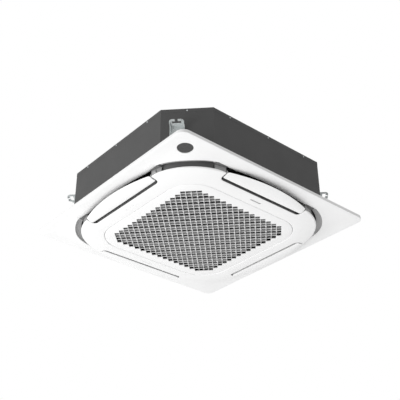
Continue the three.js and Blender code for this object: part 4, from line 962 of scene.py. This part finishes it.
def woven_mesh():
    material, tree, shader = new_material("woven_mesh", 0.7)
    across, along = [stripes(tree, mesh_pitch, axis) for axis in "XY"]
    grid = mixed(tree, noise(tree, 3.0), across, along)
    tint(tree, shader, ramp(tree, grid, 0.06, 0.16))
    bump(tree, shader, grid, mesh_relief)
    return material


def circuit():
    material, tree, shader = new_material("circuit", 0.45)
    tone = ramp(tree, cells(tree, 240.0), (0.08, 0.3, 0.17), (0.16, 0.46, 0.28), bead_shares)
    tint(tree, shader, tone)
    bump(tree, shader, noise(tree, 900.0), board_relief)
    return material


def dark_lens():
    material, tree, shader = new_material("dark_lens", 0.25)
    tint(tree, shader, ramp(tree, noise(tree, 400.0, 3.0), 0.2, 0.26))
    shader.inputs["Coat Weight"].default_value = 0.3
    bump(tree, shader, noise(tree, 900.0), smooth_grain)
    return material


# Sensor window: a shallow lens in a ring, with its flange behind the plate

def sensor_window(finish):
    middle = sensor_from_middle
    face = plate_height(middle, middle) - sensor_gap
    behind = plate_height(middle, middle) + panel_skin + sensor_gap
    flange, back = sensor_radius + sensor_flange, behind + sensor_thickness
    profile = [(0, face + sensor_crown)]
    for step in range(1, sensor_dome_steps + 1):
        share = step / sensor_dome_steps
        rise = sensor_crown * math.sqrt(1 - share ** 2) * sensor_dome_share
        profile.append(((sensor_radius - 2 * sensor_edge) * share, face + rise))
    profile += [
        (sensor_radius - sensor_edge, face), (sensor_radius - sensor_edge / 2, face),
        (sensor_radius, face + sensor_edge), (sensor_radius, behind), (flange, behind), (flange, back),
        (0, back),
    ]
    shell = Shell()
    shell.sweep(round_stations(middle, -middle, 0, sensor_steps), profile)
    shell.piece("sensor_lens", finish, "dark_plastic", nodes=["sensor_window"])


# Vanes

def vane_section(lateral, steps=8):
    """The blade cut across at a place along it: up round the outer edge, back round the inner one."""
    left = vane_half - abs(lateral)
    cut = 0
    if left < vane_corner:
        cut = vane_corner - math.sqrt(vane_corner ** 2 - (vane_corner - left) ** 2)
    outer = vane_outer - (vane_bow - math.sqrt(vane_bow ** 2 - lateral ** 2)) - cut
    inner = vane_inner + cut * vane_corner_share
    under, over = [], []
    for step in range(steps + 1):
        share = (1 - math.cos(math.pi * step / steps)) / 2
        y = inner + (outer - inner) * share
        line = -vane_inner_drop + (vane_inner_drop - vane_outer_drop) * share
        swell = 4 * share * (1 - share)
        middle = line + vane_edge / 2 - vane_crown * swell
        thinned = swell ** vane_swell_power if 0 < step < steps else vane_edge_share
        thick = (vane_edge + vane_body * swell) * thinned
        under.append((lateral, -y, middle - thick / 2))
        over.append((lateral, -y, middle + thick / 2))
    turned_up = vane_edge - vane_inner_drop + vane_flange
    flange = [(lateral, -inner, turned_up), (lateral, -inner - vane_edge, turned_up)]
    return [*under, *reversed(over[2:]), *reversed(flange)]


def vane(side, finish):
    turns = [QUARTER * step / vane_end_steps for step in range(vane_end_steps + 1)]
    ends = [vane_half - vane_corner * (1 - math.cos(turn)) for turn in turns]
    inner = [ends[-1] * (1 - 2 * step / vane_steps) for step in range(1, vane_steps)]
    shell = Shell()
    shell.tube([vane_section(place) for place in [*ends, *inner, *[-end for end in reversed(ends)]]])
    ear = [
        (-vane_pivot - vane_ear_foot, -vane_inner_drop + vane_edge * 2),
        (-vane_pivot - vane_ear_head, vane_ear_head - vane_pivot_drop),
        (-vane_pivot + vane_ear_head, vane_ear_head - vane_pivot_drop),
        (-vane_pivot + vane_ear_foot, -vane_inner_drop + vane_edge),
    ]
    pin = circle(-vane_pivot, -vane_pivot_drop, vane_pin, 16)
    inside_ear = vane_half - vane_corner
    for hand, far in zip(HANDS, vane_pin_reach):
        shell.bar(ear, hand * inside_ear, hand * (inside_ear + vane_ear))
        shell.bar(pin, hand * inside_ear, far)
    name = f"vane_{side + 1}"
    blade = f"vane_blade_{side + 1}"
    shell.turned(side * QUARTER).piece(blade, finish, body=name, nodes=[name])


# Intake grille

def cells_in_column(column):
    return min(cells_in_first + 2 * min(column, cell_columns - 1 - column), cell_columns)


def line_place(line):
    return (line - cell_columns / 2) * cell


def line_reach(line):
    return min(cells_in_column(line - 1), cells_in_column(line)) * cell / 2


def lattice_outline():
    """The stepped hole that the lattice fills, along the lattice's own axes."""
    margin = hole_margin / 2
    upper = []
    for column in range(cell_columns):
        here = cells_in_column(column)
        left = line_place(column) + (margin if here > cells_in_column(column - 1) else -margin)
        right = line_place(column + 1) - (margin if here > cells_in_column(column + 1) else -margin)
        upper += [(left, here * cell / 2 - margin), (right, here * cell / 2 - margin)]
    corners = [
        place for index, place in enumerate(upper)
        if index in (0, len(upper) - 1)
        or upper[index - 1][1] != place[1] or upper[index + 1][1] != place[1]
    ]
    return [(x, -y) for x, y in corners] + list(reversed(corners))


def oblong(middle, half, low, high):
    return [(middle - half, low), (middle + half, low), (middle + half, high), (middle - half, high)]


def lattice_columns():
    """Thin bars on the face, a wider pad at every other crossing, and the slats' noses behind."""
    low, high = -face_drop, column_depth - face_drop
    half, wide, long = column_width / 2, pad_width / 2, pad_length / 2
    pad = [(half, -long), (wide, -long / 2), (wide, long / 2), (half, long)]
    pad += [(-across, along) for across, along in reversed(pad)]
    shoulder = column_width * column_shoulder_share
    section = [
        (half, high), (-half, high), (-half, low + shoulder), (shoulder - half, low),
        (half - shoulder, low), (half, low + shoulder),
    ]
    bars, shell = Shell(), Shell()
    for line in range(1, cell_columns):
        middle, reach = line_place(line), line_reach(line)
        bars.bar([(middle + across, height) for across, height in section], -reach, reach)
        shell.bar(oblong(middle, nose_width / 2, high, high + nose_depth), -reach, reach)
        for row in range(1, round(2 * reach / cell)):
            x, y = -middle, row * cell - reach
            if (round(y / cell) + line) % 2:
                shell.slab([[(x + across, y + along) for across, along in pad]], low, high)
    shell.join(bars.turned(QUARTER))
    return shell


def slat_section(middle, low):
    near = []
    for step in range(slat_steps + 1):
        share = step / slat_steps
        near.append((middle - slat_lean * share ** slat_bend_power, low + slat_depth * share))
    return [*near, *[(y + slat_thickness, z) for y, z in reversed(near)]]


def lattice_rows():
    """Behind the columns: a leaning slat on every other line, a thin rib between, finished in a painted shade
    grey.
    """
    shell = Shell()
    low = slat_base - face_drop
    for line in range(1, cell_columns):
        middle, reach = line_place(line), line_reach(line)
        rib = oblong(middle, slat_thickness / 2, low, low + rib_depth)
        shell.bar(rib if line % 2 else slat_section(middle, low), -reach, reach)
    return shell


def grille_frame():
    outline = rounded_square(grille_half, grille_corner, 24)
    top, rim = grille_skin - face_drop, grille_rim - face_drop
    edge = [(out - seam_round, rise - face_drop) for out, rise in quarter_round(seam_round)]
    shell = Shell()
    shell.sweep(outline, [*edge, (0, rim), (-grille_rim_wall, rim), (-grille_rim_wall, top)])
    turn = Matrix.Rotation(EIGHTH, 2)
    hole = [tuple(turn @ Vector(place)) for place in lattice_outline()]
    shell.sheet([plan(outline, -seam_round), hole], -face_drop)
    shell.sheet([plan(outline, -grille_rim_wall), hole], top)
    shell.loft([[(x, y, -face_drop), (x, y, top)] for x, y in hole])
    return shell


def filter_clips():
    side = Shell()
    width = (-clip_half, clip_half)
    outer, hook = -clip_inner - clip_thickness, -clip_inner + clip_thickness * 2
    side.block(width, (outer, -clip_inner), (grille_skin - face_drop, clip_top), clip_chamfer)
    side.block(width, (outer, hook), (clip_top, clip_top + clip_thickness), clip_chamfer)
    return side.on_sides()


def latch_catch():
    shell = Shell()
    width, wall = (-catch_half, catch_half), (catch_reach[0] - grille_rim_wall, catch_reach[0])
    shell.block(wall, width, (grille_skin - face_drop, catch_top), small_chamfer)
    shell.block(catch_reach, width, (catch_top - grille_rim_wall, catch_top), small_chamfer)
    return shell


def grille(face_finish, slat_shade_finish):
    shell = grille_frame()
    for added in (lattice_columns().turned(EIGHTH), filter_clips(), latch_catch()):
        shell.join(added)
    shell.piece("grille_face", face_finish, body="grille", nodes=["intake_grille"], sharp=lattice_sharp)
    slats = lattice_rows().turned(EIGHTH)
    slats.piece("grille_slats", slat_shade_finish, body="grille", sharp=lattice_sharp)


# Casing top with its skirt, and the screws that hold it

def casing_lid(finish):
    shell = Shell()
    bottom = casing_top - skirt_height
    levels = [
        (skirt_gap, casing_top - top_sheet), (skirt_gap, bottom), (skirt_step, bottom),
        (skirt_step, casing_top - top_sheet), (skirt_step - top_sheet / 4, casing_top - top_sheet / 4),
        (skirt_step - top_sheet, casing_top),
    ]
    shell.loft([[(*place, height) for place in casing_outline(out)] for out, height in levels], False, True)
    for out, height in (levels[0], levels[-1]):
        shell.sheet([casing_outline(out)], height)
    shell.piece("casing_lid", finish, "galvanised_sheet", nodes=["casing_top"])


def screw(x, wall, height, scale=1):
    """A flanged hexagon head on the wall at y = -wall, standing out along -Y."""
    flange = screw_round + screw_flange
    half_side = math.pi / screw_sides
    rings = []
    for radius, out, hexagon in (
        (flange, 0, False), (flange, screw_flange / 2, False), (screw_round, screw_flange, False),
        (screw_round, screw_flange, True), (screw_round, screw_head - screw_edge, True),
        (screw_round - screw_edge, screw_head, True),
    ):
        ring = []
        for step in range(screw_steps):
            turn = 2 * math.pi * step / screw_steps
            reach = radius * scale
            if hexagon:
                reach *= math.cos(half_side) / math.cos(turn % (2 * half_side) - half_side)
            ring.append((x + reach * math.cos(turn), -wall - out * scale, height + reach * math.sin(turn)))
        rings.append(ring)
    shell = Shell()
    shell.loft(rings, False, True)
    shell.add(rings[-1], [tuple(range(screw_steps))])
    return shell


def casing_screws(finish):
    side = Shell()
    spacing = casing_half - casing_cut - screw_from_end
    height = casing_top - screw_below_top
    for place in (-spacing, 0, spacing):
        side.join(screw(place, casing_half + skirt_step, height))
    side.join(screw(0, casing_chamfer + skirt_step, height).turned(EIGHTH))
    side.on_sides().piece("casing_screws", finish, "bright_steel")


# Hanger brackets, drawn with x straight out of a cut corner's face and y along it

def bracket_shelf():
    """The shelf that takes the rod: a cross slot, and a mouth that opens it outwards."""
    near, far = slot_out - slot_width / 2, slot_out + slot_width / 2
    low = bracket_top - bracket_sheet
    centre = (bracket_reach - bracket_corner, bracket_corner - bracket_half)
    one = [(bracket_seat, -bracket_half), *plan(arc(*centre, bracket_corner, -QUARTER, 0, 6))]
    one += [(bracket_reach, -mouth_half), (far, -mouth_half), (far, -slot_half), (near, -slot_half)]
    shell = Shell()
    shell.slab([one + [(x, -y) for x, y in reversed(one)]], low, bracket_top)
    edge = (bracket_reach - bracket_sheet, bracket_reach)
    for hand in HANDS:
        width = (hand * mouth_half, hand * (mouth_half + 2 * hook_half))
        shell.block(edge, width, (low - hook_lip, low), hook_chamfer)
    return shell


def bracket_flanges():
    """The sheet's two sides: upright beside the back, and a low rim beneath the shelf's edges."""
    tip = bracket_reach - bracket_corner
    top = bracket_top - bracket_sheet / 2
    rim = bracket_top - bracket_sheet - flange_rim
    side = Shell()
    side.slab([[
        (bracket_seat, bracket_foot), (flange_reach - flange_rim, bracket_foot),
        (flange_reach, bracket_foot + flange_rim), (flange_reach, rim - flange_rim),
        (flange_reach + flange_rim, rim), (tip, rim), (tip, top), (bracket_seat, top),
    ]], 0, bracket_sheet)
    shell = Shell()
    for hand in HANDS:
        shell.join(side.changed(lambda x, y, z: (x, hand * (bracket_half - z), y)))
    return shell


def bracket_back():
    """The upright back with its pressed boss and four screws."""
    middle = (bracket_foot + bracket_top) / 2
    face = bracket_seat + bracket_sheet
    flat = Shell()
    flat.block((-bracket_half, bracket_half), (bracket_foot, bracket_top), (bracket_seat, face), back_chamfer)
    rings = []
    for rise in (0, boss_rise / 2, boss_rise):
        rings.append([(x, y, face + rise) for x, y in circle(0, middle, boss_foot - rise)])
    flat.loft(rings, False, True)
    flat.add(rings[-1], [tuple(range(len(rings[-1])))])
    shell = flat.changed(lambda x, y, z: (z, x, y))
    for rise in bracket_screw_rises:
        for hand in HANDS:
            place = (hand * bracket_screw_half, face, bracket_foot + rise)
            shell.join(screw(*place, bolt_scale).turned(QUARTER))
    return shell


def bracket(corner, finish):
    shell = bracket_shelf()
    shell.join(bracket_flanges())
    shell.join(bracket_back())
    slide = bracket_slide if corner % 2 else -bracket_slide
    moved = shell.changed(lambda x, y, z: (x + casing_chamfer, y + slide, z))
    name = f"bracket_{corner + 1}"
    placed = moved.turned(corner * QUARTER - EIGHTH)
    placed.piece(name, finish, "bright_steel", nodes=[f"hanger_{name}"])


# Dressing the CAD nodes that stay, and building the pieces that stand for others

def materials_by_slot():
    return {
        "white_plastic": moulded("white_plastic", 0.955, 0.965, 0.4, 0.5),
        "galvanised_sheet": coated_sheet(),
        "bright_steel": zinc(),
        "grey_plastic": moulded("grey_plastic", 0.62, 0.66, 0.5, 0.6, coarse_grain),
        "dark_plastic": moulded("dark_plastic", 0.26, 0.3, 0.45, 0.6, coarse_grain),
        "black_plastic": moulded("black_plastic", 0.08, 0.11, 0.5, 0.65, coarse_grain),
        "dark_foam": soft_foam("dark_foam", 0.1, 0.15, dark_bead),
        "white_foam": soft_foam("white_foam", 0.84, 0.9, white_bead),
        "copper_tube": drawn_metal("copper_tube", (0.62, 0.36, 0.24), (0.8, 0.52, 0.38)),
        "brass_nut": drawn_metal("brass_nut", (0.66, 0.54, 0.28), (0.8, 0.69, 0.42)),
        "aluminium_fins": fins(),
        "board": circuit(),
    }


def dress_nodes():
    finishes = materials_by_slot()
    by_node = {"sensor_window": dark_lens(), "filter_mesh": woven_mesh()}
    for entry in frame["record"]["subparts"]:
        node = frame["nodes"][entry["node"]]
        node.data.materials.clear()
        node.data.materials.append(by_node.get(entry["node"], finishes[entry["material_slot"]]))
    return finishes


def build_pieces(finishes):
    white, steel = finishes["white_plastic"], finishes["bright_steel"]
    # Mid grey as painted shade: the bridges, the pockets' walls and the corner seals are darkened to the
    # shade that falls in the deep slots, and the seals' ends to a lighter painted shade
    painted_shade = moulded("painted_shade_grey", 0.4, 0.44, 0.8, 0.9)
    panel_plate(white)
    core(white)
    corner_seals(painted_shade, moulded("painted_shade_light", 0.6, 0.64, 0.8, 0.9))
    # Light grey as painted shade for the white ledges in the corner slots
    corner_ledge_shade(moulded("painted_shade_lining", 0.68, 0.72, 0.7, 0.8))
    panel_bridges(painted_shade)
    pocket_walls(painted_shade)
    casing_lid(finishes["galvanised_sheet"])
    casing_screws(steel)
    for corner in SIDES:
        bracket(corner, steel)
    sensor_window(dark_lens())
    for side in SIDES:
        vane(side, white)
    # The slats and ribs are the grille's white plastic, painted mid grey as the shade that falls deep behind
    # the lattice
    grille(white, moulded("slat_painted_shade", 0.48, 0.52, 0.5, 0.6))


build_pieces(dress_nodes())


# Stage, lamps and camera

def floor():
    half = floor_half * METRES
    mesh = bpy.data.meshes.new("floor")
    corners = [(-half, -half, 0), (half, -half, 0), (half, half, 0), (-half, half, 0)]
    mesh.from_pydata(corners, [], [(0, 1, 2, 3)])
    ground = bpy.data.objects.new("floor", mesh)
    ground.location.z = -floor_drop * METRES
    bpy.context.scene.collection.objects.link(ground)
    material, tree, shader = new_material("floor", 0.9)
    tint(tree, shader, ramp(tree, noise(tree, 4.0), 0.93, 0.95))
    mesh.materials.append(material)


def white_background(tree, strength):
    node = tree.nodes.new("ShaderNodeBackground")
    node.inputs["Color"].default_value = (1.0, 1.0, 1.0, 1.0)
    node.inputs["Strength"].default_value = strength
    return node.outputs["Background"]


def world():
    """White where it is seen, straight on or in a gloss, and dimmer as a light."""
    studio = bpy.data.worlds.new("studio")
    studio.use_nodes = True
    bpy.context.scene.world = studio
    tree = studio.node_tree
    path = tree.nodes.new("ShaderNodeLightPath").outputs
    seen = calculated(tree, "MAXIMUM", path["Is Camera Ray"], path["Is Transmission Ray"])
    chosen = tree.nodes.new("ShaderNodeMixShader")
    share = calculated(tree, "MAXIMUM", seen, path["Is Glossy Ray"])
    tree.links.new(share, chosen.inputs["Fac"])
    tree.links.new(white_background(tree, world_light), chosen.inputs[1])
    tree.links.new(white_background(tree, 1.0), chosen.inputs[2])
    tree.links.new(chosen.outputs["Shader"], tree.nodes["World Output"].inputs["Surface"])


def lamp(name, place, width, power):
    light = bpy.data.lights.new(name, "AREA")
    light.size = width * METRES
    light.energy = power
    holder = bpy.data.objects.new(name, light)
    holder.location = Vector(place) * METRES
    holder.rotation_euler = (-holder.location).to_track_quat("-Z", "Y").to_euler()
    bpy.context.scene.collection.objects.link(holder)


def camera():
    tilt = Matrix.Rotation(QUARTER - camera_elevation, 4, "X")
    turn = Matrix.Rotation(camera_azimuth, 4, "Z") @ tilt @ Matrix.Rotation(camera_roll, 4, "Z")
    place = turn @ Vector((camera_slide, camera_lift, camera_distance)) - Vector((0, 0, camera_drop))
    data = bpy.data.cameras.new("camera")
    data.sensor_fit = "HORIZONTAL"
    data.lens = data.sensor_width * focal_pixels / picture_pixels
    holder = bpy.data.objects.new("camera", data)
    holder.matrix_world = Matrix.Translation(place * METRES) @ turn
    bpy.context.scene.collection.objects.link(holder)
    bpy.context.scene.camera = holder


floor()
world()
for name, (place, width, power) in lamps.items():
    lamp(name, place, width, power)
camera()
bpy.context.scene.view_settings.view_transform = "Standard"
